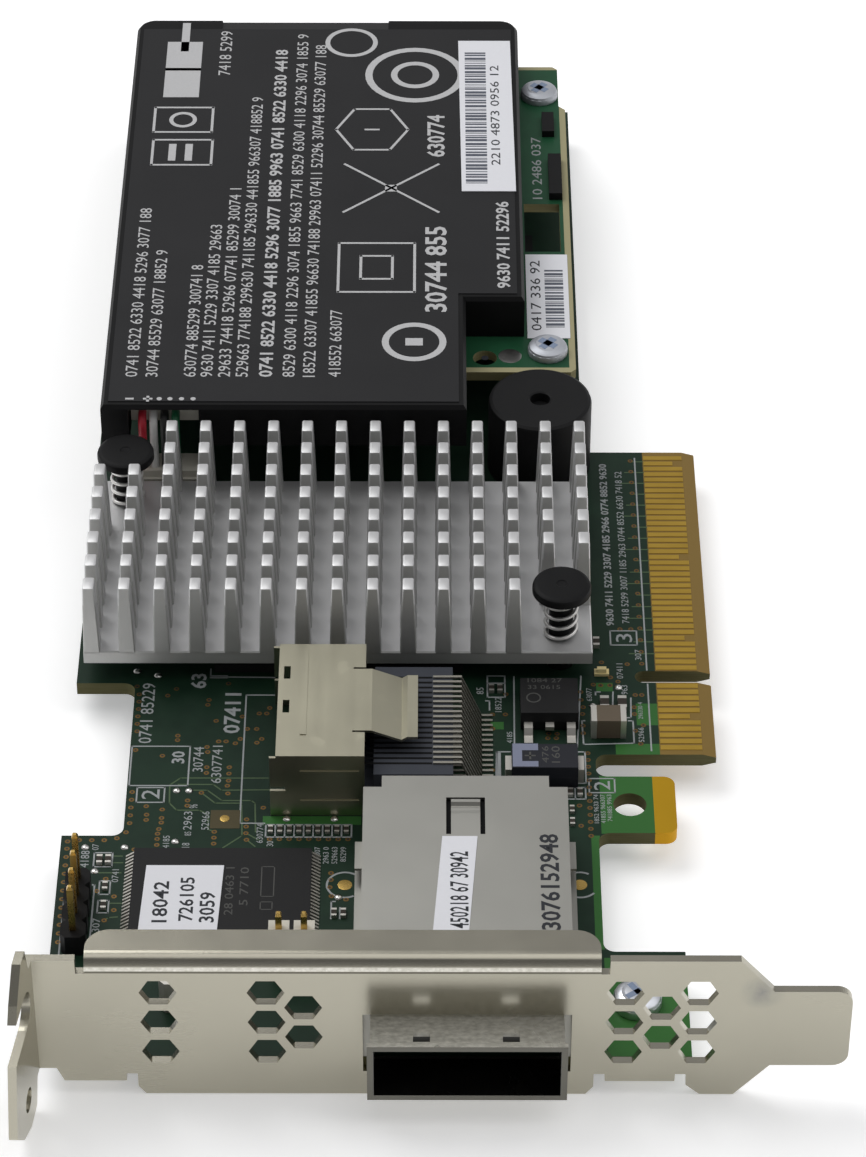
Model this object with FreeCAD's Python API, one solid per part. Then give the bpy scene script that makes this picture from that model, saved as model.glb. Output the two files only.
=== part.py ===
import FreeCAD, Part
import math
import os

# A low-profile storage controller card, in millimetres.
# Origin: the middle of the key notch of the edge connector, at the tongue's tip,
# on the component face of the board.  +X points out of the edge connector, so the
# board lies at negative X.  +Y runs away from the bracket.  +Z is the component side.

V = FreeCAD.Vector
up = V(0, 0, 1)

# ---------------------------------------------------------------- driving sizes
# Board
card_height = 68.90
board_length = 167.65
board_thickness = 1.57
board_front = -56.90
board_body_height = 56.00
corner_radius = 1.2

# Edge connector, eight lanes
contact_pitch = 1.0
contact_width = 0.70
contact_thickness = 0.05
contact_inner = 5.90
contact_outer = 1.45
short_contact_cut = 1.10
key_width = 1.90
key_depth = 8.25
short_segment = 11.65
long_segment = 38.65
short_count = 11
long_count = 38
tongue_bevel = 1.45
tongue_bevel_drop = 0.42

# Cut-outs of the board outline
grip_cut_depth = 6.40
grip_cut_near = -25.30
grip_cut_far = -1.20
tab_slot_width = 3.46
tab_width = 8.74
tab_reach = 64.25
tab_hole_radius = 1.75
tab_hole_inset = 4.85
near_tab_far = -42.30

# Bracket
sheet = 0.86
bracket_face = -57.93
bracket_width = 18.42
bracket_top = 14.18
bracket_tail_width = 10.19
bracket_end = 79.45
tail_start = 71.80
shoulder = 68.40
bend_radius = 1.46
flange_depth = 4.30
flange_left = 5.05
flange_right = 54.95
fold_relief = 0.85
flange_corner = 2.4
hex_flats = 3.20
hex_rise = 4.05
hex_step = 3.60
screw_tab_width = 5.40
screw_tab_reach = 9.60
screw_tab_inset = 2.40
screw_tab_offset = 54.00
relief_width = 1.10
relief_offset = 1.30
relief_rise = 1.00
ledge_inner = 0.15
ledge_slope = 0.13
ledge_slot = 4.42
ledge_slot_middle = 10.50
ledge_slot_end = 2.30

# Screws
screw_radius = 1.45
screw_head_radius = 2.45
screw_head_height = 1.70
screw_clearance = 0.15
head_flats = 16
screw_line = -49.60

# Processor and heatsink
processor_side = 27.0
processor_height = 2.20
pad_thickness = 0.20
sink_left = 0.90
sink_front = -0.75
sink_width = 55.05
sink_depth = 29.80
sink_base = 1.75
fin_height = 8.75
fin_base_width = 1.85
fin_top_width = 1.25
fin_length = 2.20
fin_columns = 15
fin_rows = 8
corner_columns = 2
corner_rows = 2

# Push pins
push_head_radius = 3.18
push_head_height = 1.15
push_head_rise = 6.95
push_shaft_radius = 1.30
push_hole_radius = 1.50
push_barb_radius = 1.80
push_barb_length = 2.20
push_inset_x = 3.40
push_inset_y = 3.30
spring_wire = 0.42
spring_radius = 1.68
spring_turns = 4
spring_steps = 8

# Internal connector, mouth towards -X
port_middle = -13.30
port_width = 17.80
port_left = 21.70
port_top_left = 22.37
port_right = 31.58
port_height = 8.40
port_sheet = 0.30
port_window = 2.00
housing_left = 32.50
housing_right = 40.80
housing_width = 17.04
housing_height = 5.50
tail_count = 18
tail_pitch = 0.80
tail_width = 0.30
tail_sheet = 0.20
tail_cover = 2.10
tail_overhang = 0.80
tail_fall = 2.20
tail_pad = 1.30
latch_width = 9.80
latch_reach = 37.10
latch_dip = 1.30

# External connector, nose through the bracket
cage_left = 31.50
cage_right = 52.60
cage_height = 6.50
cage_back = -23.10
cage_step = 1.70
cage_step_width = 1.90
cage_sheet = 0.35
cage_setback = 0.15
nose_reach = 4.30
nose_inset = 1.10
nose_drop = 0.30
lip_flare = 0.30
lip_length = 0.55
opening_gap = 0.75
nose_window_width = 1.65
nose_window_length = 2.10
core_width = 13.40
core_height = 3.20
core_slot = 0.90
blade_count = 13
blade_pitch = 0.80
blade_width = 0.34
blade_sheet = 0.12

# Flash memory
flash_left = 7.80
flash_far = -28.30
flash_length = 18.40
flash_width = 14.00
flash_height = 1.10
flash_standoff = 0.10
lead_count = 28
lead_pitch = 0.50
lead_width = 0.22
lead_sheet = 0.13
lead_reach = 0.90

# Regulator, tantalum capacitor, ceramic capacitor
regulator_left = 48.10
regulator_near = -8.70
regulator_width = 6.20
regulator_length = 6.10
regulator_height = 2.25
regulator_lead_width = 0.92
regulator_lead_pitch = 2.29
regulator_lead_sheet = 0.50
tantalum_left = 47.00
tantalum_near = -18.00
tantalum_length = 7.00
tantalum_width = 4.00
tantalum_height = 2.90
terminal_reach = 0.65
terminal_height = 1.90
terminal_width = 2.20
ceramic_left = 55.60
ceramic_near = -10.05
ceramic_length = 3.75
ceramic_width = 2.60
ceramic_height = 2.50
ceramic_cap = 0.60

# Small chips, placed by their middle; each is long in Y
chip_length = 1.00
chip_width = 0.50
chip_height = 0.40
chip_cap = 0.24
row_count = 9
row_pitch = 0.99
row_start = 21.75
row_line = -24.55

# Four-pin header, a row of cells with cut corners
key_base_height = 2.54
key_cell_cut = 0.50
pin_side = 0.64
pin_top = 8.50
pin_pitch = 2.54
key_pin_first = -41.70
key_pin_x = 2.38
key_pin_count = 4

# Two-pin header behind the bracket flange
pair_left = 23.30
pair_line = -44.60
pair_base_side = 2.10
pair_base_height = 5.60
pair_pin_top = 7.70

# Alarm buzzer
buzzer_x = 50.90
buzzer_gap = 2.50
buzzer_radius = 5.90
buzzer_height = 9.50
buzzer_port_radius = 1.25
buzzer_port_depth = 3.0
buzzer_flats = 36

# Battery board on its standoffs
deck_gap = 7.10
deck_thickness = 1.20
deck_left = 2.00
deck_right = 55.20
deck_buzzer_gap = 0.65
deck_far = 108.50
deck_step = 0.80
deck_step_at = 98.70
deck_corner = 0.60
deck_notch_left = 49.70
deck_notch_right = 54.00
deck_notch_near = 68.00
deck_notch_far = 78.00
standoff_flats = 4.50
standoff_left = 5.20
standoff_right = 52.00
standoff_inset = 3.90
standoff_far = 101.80
deck_screw_radius = 1.20
deck_screw_head = 2.30
deck_screw_height = 1.30
deck_screw_length = 3.2
deck_hole_x = 44.70
deck_plug_width = 1.60
deck_plug_inset = 0.80
deck_plug_near = 78.90
deck_plug_length = 8.60
deck_plug_height = 1.00
deck_part_width = 1.50
deck_part_inset = 1.50
deck_part_near = 92.60
deck_part_length = 4.30
deck_part_height = 0.90
deck_hole_inset = 2.75
deck_hole_radius = 1.40

# Battery pack
pack_left = 1.30
pack_neck_right = 42.45
pack_right = 49.30
pack_gap = 1.15
pack_neck_inset = 6.90
pack_far = 111.00
pack_height = 5.60
pack_corner = 2.30
pack_edge = 0.45
pack_top_wall = 0.60
pack_dip = 0.70
pack_dip_depth = 2.40
pack_dip_left = 12.00
pack_dip_right = 33.00
label_thickness = 0.10
label_margin = 0.50

# Battery lead
plug_left = 4.60
plug_pitch = 1.25
plug_ways = 5
plug_margin = 1.30
plug_inset = 1.80
plug_depth = 3.40
plug_height = 2.60
plug_gap = 0.20
wire_radius = 0.45
wire_bend = 1.25
wire_gap = 1.55
socket_gap = 0.30
socket_depth = 3.60
socket_height = 5.00

# Chips and link under the battery board
memory_count = 5
memory_width = 8.0
memory_length = 11.5
memory_height = 1.2
memory_pitch = 9.6
memory_left = 4.5
memory_near = 70.0
link_left = 46.40
link_inset = 11.0
link_width = 4.0
link_length = 11.0
link_split = 3.8

# Paper labels: how far each starts inside its carrier, how far it leans, its size
flash_label_inset = 0.95
flash_label_width = 8.00
flash_label_length = 11.20
flash_label_lean = 0.45
flash_label_edge = 0.10
port_label_shift = 0.60
port_label_width = 3.60
port_label_length = 16.70
port_label_lean = 1.15
port_label_back = 9.20
pack_label_width = 6.50
pack_label_length = 33.20
pack_label_lean = 0.30
pack_label_edge = 0.70
pack_label_back = 5.30
deck_label_width = 5.00
deck_label_length = 16.80
deck_label_edge = 0.50
deck_label_inset = 6.50

# Can behind the vents
can_left = 11.50
can_width = 4.60
can_near = -51.00
can_length = 4.20
can_height = 4.00

# ---------------------------------------------------------------- derived places
left = -card_height
board_bottom = -board_thickness
board_back = board_front + board_length
body_right = left + board_body_height
tongue_near = -key_width / 2 - short_segment
tongue_far = key_width / 2 + long_segment
tab_far = tongue_near - tab_slot_width
tab_near = tab_far - tab_width
tab_right = left + tab_reach
bracket_back = bracket_face + sheet
bracket_bottom = bracket_top - bracket_width
bracket_middle = (bracket_top + bracket_bottom) / 2
sink_bottom = processor_height + pad_thickness
sink_top = sink_bottom + sink_base
sink_x = left + sink_left
sink_right = sink_x + sink_width
sink_back = sink_front + sink_depth
column_pitch = (sink_width - fin_base_width) / (fin_columns - 1)
row_spacing = (sink_depth - fin_length) / (fin_rows - 1)
push_places = [
    (sink_right - push_inset_x, sink_front + push_inset_y),
    (sink_x + push_inset_x, sink_back - push_inset_y),
]
socket_near = sink_back + socket_gap
wire_line = sink_back + wire_gap
pack_near = sink_back + pack_gap
plug_face = pack_near + plug_inset
buzzer_y = sink_back + buzzer_gap + buzzer_radius
deck_near = buzzer_y + buzzer_radius + deck_buzzer_gap
standoff_near = deck_near + standoff_inset
deck_hole_y = deck_near + deck_hole_inset
pack_neck = deck_near + pack_neck_inset
link_near = deck_near + link_inset
deck_bottom = deck_gap
deck_top = deck_bottom + deck_thickness
pack_bottom = deck_top
pack_top = pack_bottom + pack_height
standoff_places = [
    (left + x, y)
    for x in (standoff_left, standoff_right)
    for y in (standoff_near, standoff_far)
]
top_screw_places = [(left + standoff_right, y) for y in (standoff_near, standoff_far)]
bracket_screw_places = [
    (left + screw_tab_inset + screw_tab_width / 2, screw_line),
    (left + screw_tab_inset + screw_tab_offset + screw_tab_width / 2, screw_line),
]
tail_start_x = housing_right - tail_cover
tail_knee = housing_right + tail_overhang
tail_foot = tail_knee + tail_fall
tail_end = tail_foot + tail_pad
tab_hole = (tab_right - tab_hole_inset, (tab_near + tab_far) / 2)


# ---------------------------------------------------------------- shape helpers
def box(x0, x1, y0, y1, z0, z1):
    """A block between two opposite corners."""
    return Part.makeBox(x1 - x0, y1 - y0, z1 - z0, V(x0, y0, z0))


def rod(x, y, z0, z1, radius):
    """An upright cylinder."""
    return Part.makeCylinder(radius, z1 - z0, V(x, y, z0), up)


def small_rod(x, y, z0, z1, radius):
    """A slim upright shaft or hole with twelve flats, which keeps the facets few."""
    turn = math.pi / 6
    points = [
        (x + radius * math.cos(i * turn), y + radius * math.sin(i * turn)) for i in range(12)
    ]
    return plate(sharp(points), z0, z1)


def ring_points(x, y, radius, count):
    """Corners of a regular polygon about a point, the first one towards +X."""
    return [
        (x + radius * math.cos(2 * math.pi * i / count),
         y + radius * math.sin(2 * math.pi * i / count))
        for i in range(count)
    ]


def tapered(low, z0, high, z1):
    """The solid between two like polygons at two heights, every side of it flat."""
    a = [V(x, y, z0) for x, y in low]
    b = [V(x, y, z1) for x, y in high]
    faces = [Part.Face(Part.makePolygon(ring + [ring[0]])) for ring in (a, b)]
    for i in range(len(a)):
        j = (i + 1) % len(a)
        faces.append(Part.Face(Part.makePolygon([a[i], a[j], b[j], b[i], a[i]])))
    solid = Part.Solid(Part.Shell(faces))
    return solid if solid.Volume > 0 else solid.reversed()


def outline(corners, place):
    """A closed wire through corners given as (a, b, radius); place maps (a, b) to a point.
    A corner with a radius above zero becomes an arc tangent to its two sides."""
    count = len(corners)
    starts = []
    ends = []
    middles = []
    for i, (a, b, radius) in enumerate(corners):
        before = corners[i - 1]
        after = corners[(i + 1) % count]
        here = V(a, b, 0)
        to_before = V(before[0] - a, before[1] - b, 0).normalize()
        to_after = V(after[0] - a, after[1] - b, 0).normalize()
        if radius <= 0:
            starts.append(here)
            ends.append(here)
            middles.append(None)
            continue
        half = to_before.getAngle(to_after) / 2
        reach = radius / math.tan(half)
        centre_way = (to_before + to_after).normalize()
        starts.append(here + to_before * reach)
        ends.append(here + to_after * reach)
        middles.append(here + centre_way * (radius / math.sin(half) - radius))
    edges = []
    for i in range(count):
        if middles[i] is not None:
            arc = Part.Arc(place(starts[i]), place(middles[i]), place(ends[i]))
            edges.append(arc.toShape())
        after = (i + 1) % count
        if (starts[after] - ends[i]).Length > 1e-6:
            edges.append(Part.LineSegment(place(ends[i]), place(starts[after])).toShape())
    return Part.Wire(edges)


def plate(corners, z0, z1):
    """A level plate with the given outline in X and Y."""
    wire = outline(corners, lambda p: V(p.x, p.y, z0))
    return Part.Face(wire).extrude(V(0, 0, z1 - z0))


def wall(corners, y0, y1):
    """A plate that stands across Y, with the given outline in X and Z."""
    wire = outline(corners, lambda p: V(p.x, y0, p.y))
    return Part.Face(wire).extrude(V(0, y1 - y0, 0))


def bar(corners, x0, x1):
    """A bar along X, with the given section in Y and Z."""
    wire = outline(corners, lambda p: V(x0, p.x, p.y))
    return Part.Face(wire).extrude(V(x1 - x0, 0, 0))


def sharp(points):
    """Corners without a radius."""
    return [(a, b, 0) for a, b in points]


def rectangle(x0, x1, y0, y1, radius):
    """The four corners of a rounded rectangle."""
    return [(x0, y0, radius), (x1, y0, radius), (x1, y1, radius), (x0, y1, radius)]


def group(solids):
    """Several separate solids in one node."""
    return Part.makeCompound(solids)


def export(name, shape):
    shape.exportStep(os.path.join("parts", name + ".step"))


# ---------------------------------------------------------------- circuit board
def circuit_board():
    grip = left + grip_cut_depth
    key_inner = -key_depth
    notch = key_width / 2 - 0.01
    corners = [
        (left, board_front, 0),
        (tab_right, board_front, 0),
        (tab_right, near_tab_far, 0),
        (body_right, near_tab_far, corner_radius),
        (body_right, tab_near, corner_radius),
        (tab_right, tab_near, corner_radius),
        (tab_right, tab_far, corner_radius),
        (body_right, tab_far, corner_radius),
        (body_right, tongue_near, corner_radius),
        (0, tongue_near, 0),
        (0, -key_width / 2, 0),
        (key_inner, -key_width / 2, notch),
        (key_inner, key_width / 2, notch),
        (0, key_width / 2, 0),
        (0, tongue_far, 0),
        (body_right, tongue_far, 0),
        (body_right, board_back, 0),
        (left, board_back, 0),
        (left, grip_cut_far, 0),
        (grip, grip_cut_far, corner_radius),
        (grip, grip_cut_near, corner_radius),
        (left, grip_cut_near, 0),
    ]
    board = plate(corners, board_bottom, 0)
    # The tongue's tip is bevelled on both faces so that it slides into a slot.
    for face, sign in ((0, 1), (board_bottom, -1)):
        drop = face - sign * tongue_bevel_drop
        wedge = outline(
            sharp([(-tongue_bevel, face), (0.5, face), (0.5, drop), (0, drop)]),
            lambda p: V(p.x, tongue_near - 1, p.y),
        )
        length = tongue_far - tongue_near + 2
        board = board.cut(Part.Face(wedge).extrude(V(0, length, 0)))
    holes = [rod(tab_hole[0], tab_hole[1], board_bottom - 1, 1, tab_hole_radius)]
    for x, y in bracket_screw_places:
        holes.append(small_rod(x, y, board_bottom - 1, 1, screw_radius + screw_clearance))
    for x, y in push_places:
        holes.append(small_rod(x, y, board_bottom - 1, 1, push_hole_radius))
    return board.cut(group(holes))


def edge_contacts(z0, z1, short_ones):
    """One face of gold contacts; the presence contacts of short_ones end earlier."""
    solids = []
    places = [-key_width / 2 - 0.55 - contact_pitch * i for i in range(short_count)]
    places += [key_width / 2 + 0.55 + contact_pitch * i for i in range(long_count)]
    for number, y in enumerate(places):
        tip = -contact_outer
        if number in short_ones:
            tip -= short_contact_cut
        solids.append(box(-contact_inner, tip, y - contact_width / 2, y + contact_width / 2, z0, z1))
    return group(solids)


# ---------------------------------------------------------------- bracket
def hexagon(x, z):
    """A six-sided vent through the bracket, flats above and below."""
    radius = hex_flats / math.sqrt(3)
    points = [
        (x + radius * math.cos(math.radians(60 * i)), z + radius * math.sin(math.radians(60 * i)))
        for i in range(6)
    ]
    return wall(sharp(points), bracket_face - 1, bracket_back + 1)


def vents():
    top_row = bracket_middle + hex_rise * 1.2
    columns = [
        (12.05, 3, 0), (22.50, 3, 0), (22.50 + hex_step, 2, 0.5),
        (57.35, 3, 0), (57.35 + hex_step, 2, 0.5), (57.35 + 2 * hex_step, 3, 0),
    ]
    cutters = []
    for x, count, shift in columns:
        for i in range(count):
            cutters.append(hexagon(left + x, top_row - (i + shift) * hex_rise))
    return cutters


def port_opening():
    """The opening of the bracket, a named gap wider than the connector's nose."""
    return rectangle(
        left + cage_left + nose_inset - opening_gap,
        left + cage_right - nose_inset + opening_gap,
        -nose_drop - opening_gap,
        cage_height + opening_gap / 2,
        0,
    )


def bracket():
    flange_x0 = left + flange_left
    flange_x1 = left + flange_right
    tail_z0 = bracket_middle - bracket_tail_width / 2
    tail_z1 = bracket_middle + bracket_tail_width / 2
    foot = board_bottom - sheet
    tab0 = left + screw_tab_inset
    tab1 = tab0 + screw_tab_offset
    edge = left + ledge_inner
    face_corners = [
        (edge - sheet, foot + 1.75, 0),
        (tab0 - 0.7, foot + 1.75, 0),
        (tab0, foot, 0),
        (tab0 + screw_tab_width + relief_offset, foot, 0),
        (tab0 + screw_tab_width + 2 * relief_offset, bracket_bottom, 0),
        (tab1 - 2 * relief_offset, bracket_bottom, 0),
        (tab1 - relief_offset, foot, 0),
        (tab1 + screw_tab_width + relief_offset, foot, 0),
        (tab1 + screw_tab_width + 2.5 * relief_offset, bracket_bottom, 0),
        (left + shoulder, bracket_bottom, 0),
        (left + tail_start, tail_z0, 0),
        (left + bracket_end, tail_z0, 1.6),
        (left + bracket_end, tail_z1, 1.6),
        (left + tail_start, tail_z1, 0),
        (left + shoulder, bracket_top, 0),
        (flange_x1 + fold_relief, bracket_top, 0),
        (flange_x1 + fold_relief, bracket_top - bend_radius - 0.3, 0),
        (flange_x1, bracket_top - bend_radius - 0.3, 0),
        (flange_x1, bracket_top - bend_radius, 0),
        (flange_x0, bracket_top - bend_radius, 0),
        (flange_x0, bracket_top - bend_radius - 0.3, 0),
        (flange_x0 - fold_relief, bracket_top - bend_radius - 0.3, 0),
        (flange_x0 - fold_relief, bracket_top, 0),
        (edge - sheet, bracket_top, 0),
    ]
    face = wall(face_corners, bracket_face, bracket_back)
    cutters = vents()
    # A relief beside each fold of a screw tab keeps the sheet from tearing.
    relief_middles = [
        tab0 + screw_tab_width + relief_offset,
        tab1 - relief_offset,
        tab1 + screw_tab_width + relief_offset,
    ]
    for x in relief_middles:
        half = relief_width / 2
        cutters.append(
            box(x - half, x + half, bracket_face - 1, bracket_back + 1, bracket_bottom - 1,
                foot + relief_rise)
        )
    cutters.append(wall(port_opening(), bracket_face - 1, bracket_back + 1))
    face = face.cut(group(cutters))
    pieces = [top_flange(flange_x0, flange_x1)]
    pieces += [screw_tab(x0, foot) for x0 in (tab0, tab1)]
    pieces.append(ledge())
    return face.fuse(pieces).removeSplitter()


def bend(y_outer, z_outer, radius, thickness, y_sign, z_sign):
    """The quarter section of a folded sheet: an arc of the outer radius and one of the inner."""
    centre_y = y_outer + y_sign * radius
    centre_z = z_outer + z_sign * radius
    inner = radius - thickness
    turn = math.sqrt(0.5)

    def at(r, a, b):
        return V(0, centre_y - y_sign * r * a, centre_z - z_sign * r * b)

    edges = [
        Part.Arc(at(radius, 1, 0), at(radius, turn, turn), at(radius, 0, 1)).toShape(),
        Part.LineSegment(at(radius, 0, 1), at(inner, 0, 1)).toShape(),
        Part.Arc(at(inner, 0, 1), at(inner, turn, turn), at(inner, 1, 0)).toShape(),
        Part.LineSegment(at(inner, 1, 0), at(radius, 1, 0)).toShape(),
    ]
    return Part.Face(Part.Wire(edges))


def top_flange(x0, x1):
    """The long flange folded back over the board, with its fold."""
    fold = bend(bracket_face, bracket_top, bend_radius, sheet, 1, -1)
    fold.translate(V(x0, 0, 0))
    fold = fold.extrude(V(x1 - x0, 0, 0))
    corners = [
        (x0, bracket_face + bend_radius, 0),
        (x1, bracket_face + bend_radius, 0),
        (x1, bracket_face + flange_depth, flange_corner),
        (x0, bracket_face + flange_depth, flange_corner),
    ]
    return fold.fuse(plate(corners, bracket_top - sheet, bracket_top))


def screw_tab(x0, foot):
    """A tab folded back under the board, with a threaded hole for the bracket screw."""
    x1 = x0 + screw_tab_width
    end = bracket_face + screw_tab_reach + 2.2
    tab = plate(
        sharp([(x0, bracket_back - 0.1), (x1, bracket_back - 0.1), (x1, end - 1), (x1 - 1, end),
               (x0 + 1, end), (x0, end - 1)]),
        foot, board_bottom,
    )
    hole = small_rod((x0 + x1) / 2, screw_line, foot - 1, board_bottom + 1, screw_radius)
    return tab.cut(hole)


def ledge():
    """The ledge that the chassis screw holds: it leans a little past square,
    with a slot open to its outer edge and a small round hole."""

    def place(p):
        return V(left + ledge_inner - ledge_slope * p.x, bracket_back - p.x, p.y)

    half = ledge_slot / 2
    low = ledge_slot_middle - half
    high = ledge_slot_middle + half
    base = board_bottom - sheet + 1.75
    corners = [
        (0, base, 0),
        (1.9, base, 0),
        (2.9, base - 3.0, 0),
        (5.5, base - 3.3, 0),
        (8.6, base - 2.0, 1.5),
        (11.2, base + 0.8, 0.8),
        (9.3, low, 0),
        (ledge_slot_end, low, half - 0.01),
        (ledge_slot_end, high, half - 0.01),
        (8.1, high, 0),
        (7.2, bracket_top + 0.2, 0),
        (4.7, bracket_top + 3.3, 0),
        (2.9, bracket_top + 3.3, 0),
        (2.1, bracket_top, 0),
        (0, bracket_top, 0),
    ]
    leaf = Part.Face(outline(corners, place)).extrude(V(-sheet, 0, 0))
    hole = bar(sharp(ring_points(bracket_back - 5.9, 0.1, 1.3, 12)), left - 3.5, left + 1.5)
    return leaf.cut(hole)


def pan_screw(x, y, seat, length, radius, head_radius, head_height):
    """A pan-head screw: a head with a bevelled top, and a plain shank below."""
    rim = seat + head_height * 0.55
    wide = ring_points(x, y, head_radius, head_flats)
    narrow = ring_points(x, y, head_radius * 0.62, head_flats)
    head = plate(sharp(wide), seat, rim)
    crown = tapered(wide, rim, narrow, seat + head_height)
    shank = small_rod(x, y, seat - length, seat, radius)
    return head.fuse([crown, shank]).removeSplitter()


def bracket_screws():
    reach = board_thickness + sheet
    return group(
        [
            pan_screw(x, y, 0, reach, screw_radius, screw_head_radius, screw_head_height)
            for x, y in bracket_screw_places
        ]
    )


# ---------------------------------------------------------------- processor and heatsink
def processor():
    x = sink_x + sink_width / 2
    y = sink_front + sink_depth / 2
    half = processor_side / 2
    cap = half - 1.2
    substrate = box(x - half, x + half, y - half, y + half, 0, processor_height / 2)
    lid = box(x - cap, x + cap, y - cap, y + cap, processor_height / 2, processor_height)
    return substrate.fuse(lid).removeSplitter()


def thermal_pad():
    x = sink_x + sink_width / 2
    y = sink_front + sink_depth / 2
    half = processor_side / 2 - 2.0
    return box(x - half, x + half, y - half, y + half, processor_height, sink_bottom)


def fin(x, y):
    """One fin pin, narrowing upwards."""
    foot = fin_base_width / 2
    top = fin_top_width / 2
    crown = sink_top + fin_height
    corners = [(x - foot, sink_top), (x + foot, sink_top), (x + top, crown), (x - top, crown)]
    return wall(sharp(corners), y, y + fin_length)


def heatsink():
    base = box(sink_x, sink_right, sink_front, sink_back, sink_bottom, sink_top)
    fins = []
    for column in range(fin_columns):
        for row in range(fin_rows):
            near_right = column >= fin_columns - corner_columns and row < corner_rows
            far_left = column < corner_columns and row >= fin_rows - corner_rows
            if near_right or far_left:
                continue
            x = sink_x + fin_base_width / 2 + column * column_pitch
            fins.append(fin(x, sink_front + row * row_spacing))
    sink = base.fuse(fins).removeSplitter()
    holes = [
        small_rod(x, y, sink_bottom - 1, sink_top + 1, push_hole_radius) for x, y in push_places
    ]
    return sink.cut(group(holes))


def push_pin(x, y):
    """A plastic push pin: bevelled head, shaft through sink and board, and two barbs below."""
    top = sink_top + push_head_rise
    head_z = top - push_head_height
    bevel = push_head_height * 0.4
    wide = ring_points(x, y, push_head_radius, head_flats)
    narrow = ring_points(x, y, push_head_radius - 0.45, head_flats)
    head = plate(sharp(wide), head_z, top - bevel)
    crown = tapered(wide, top - bevel, narrow, top)
    shaft = small_rod(x, y, board_bottom - push_barb_length, head_z, push_shaft_radius)
    low = board_bottom - push_barb_length
    barb = wall(
        sharp([(x - push_shaft_radius * 0.6, low), (x + push_shaft_radius * 0.6, low),
               (x + push_barb_radius, board_bottom - 0.5), (x + push_barb_radius, board_bottom),
               (x - push_barb_radius, board_bottom), (x - push_barb_radius, board_bottom - 0.5)]),
        y - 0.7, y + 0.7,
    )
    split = box(x - 0.25, x + 0.25, y - 4, y + 4, low - 1, board_bottom - 0.2)
    return head.fuse([crown, shaft, barb]).removeSplitter().cut(split)


def push_spring(x, y):
    """The coil spring of a push pin, held between the sink and the pin's head.
    A three-sided section turns about the pin in equal steps, and each step's sides are
    split into flat triangles, which keeps the facets few."""
    half = spring_wire / 2
    lean = half * math.sqrt(0.75)
    low = sink_top + half
    rise = push_head_rise - push_head_height - spring_wire
    count = spring_turns * spring_steps
    rings = []
    for i in range(count + 1):
        angle = 2 * math.pi * i / spring_steps
        z = low + rise * i / count
        ring = []
        for out, lift in ((half, 0), (-half / 2, lean), (-half / 2, -lean)):
            r = spring_radius + out
            ring.append(V(x + r * math.cos(angle), y + r * math.sin(angle), z + lift))
        rings.append(ring)
    faces = [Part.Face(Part.makePolygon(ring + [ring[0]])) for ring in (rings[0], rings[-1])]
    for here, there in zip(rings, rings[1:]):
        for k in range(3):
            a, b = here[k], here[(k + 1) % 3]
            c, d = there[(k + 1) % 3], there[k]
            faces.append(Part.Face(Part.makePolygon([a, b, c, a])))
            faces.append(Part.Face(Part.makePolygon([a, c, d, a])))
    coil = Part.Solid(Part.Shell(faces))
    return coil if coil.Volume > 0 else coil.reversed()


# ---------------------------------------------------------------- internal connector
def internal_shell():
    y0 = port_middle - port_width / 2
    y1 = port_middle + port_width / 2
    x0 = left + port_top_left
    x1 = left + port_right
    top = box(x0, x1, y0, y1, port_height - port_sheet, port_height)
    shell = top
    for y, inward in ((y0, port_sheet), (y1, -port_sheet)):
        side = box(left + port_left, x1, min(y, y + inward), max(y, y + inward), 0,
                   port_height - port_sheet)
        slit = box(left + port_left - 1, left + port_left + 1.6, y - 1, y + 1, 3.5, 4.0)
        shell = shell.fuse(side.cut(slit))
        for z in (2.1, 6.2):
            rib_y = y - 0.12 if inward > 0 else y
            shell = shell.fuse(box(x0 + 2.5, x1 - 0.6, rib_y, rib_y + 0.12, z - 0.12, z + 0.12))
    for y in (port_middle - 1.1, port_middle + 4.3):
        shell = shell.cut(
            box(x0 + 0.55, x0 + 1.25, y - port_window / 2, y + port_window / 2, port_height - 1,
                port_height + 1)
        )
    bead = box(x0 + 2.45, x0 + 3.1, port_middle - 5.6, port_middle + 7.8, port_height,
               port_height + 0.1)
    shell = shell.fuse(bead)
    half = latch_width / 2
    for y in (port_middle - half - 0.25, port_middle + half):
        shell = shell.cut(box(x1 - 1.3, x1 + 1, y, y + 0.25, port_height - 1, port_height + 1))
    return shell.fuse(internal_latch(x1)).removeSplitter()


def internal_latch(x1):
    """The latch leaf: it dips, makes a groove and ends in a raised lip."""
    top = port_height
    low = port_height - latch_dip
    end = left + latch_reach
    upper = [(x1 - 0.05, top), (x1 + 0.7, top), (end - 1.7, low), (end - 1.1, low + 0.4),
             (end, low + 0.4)]
    lower = [(x, z - port_sheet) for x, z in reversed(upper)]
    half = latch_width / 2
    return wall(sharp(upper + lower), port_middle - half, port_middle + half)


def tail_places():
    first = port_middle + tail_pitch * (tail_count - 1) / 2
    return [first - tail_pitch * i for i in range(tail_count)]


def internal_housing():
    """The moulded body: a block inside the shell and a ribbed deck under the contact tails."""
    y0 = port_middle - housing_width / 2
    y1 = port_middle + housing_width / 2
    back = left + port_right
    rear = box(left + housing_left, left + housing_right, y0, y1, 0, housing_height)
    neck = box(back - 1.5, left + housing_left, y0, y1, 0, housing_height - 2.0)
    inner = port_sheet + 0.15
    block = box(back - 2.4, back - 1.5, port_middle - port_width / 2 + inner,
                port_middle + port_width / 2 - inner, 0, port_height - inner)
    tongue = box(back - 4.9, back - 2.4, y0 + 1.6, y1 - 1.6, 3.2, 4.6)
    body = rear.fuse([neck, block, tongue])
    return body.removeSplitter()


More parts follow.
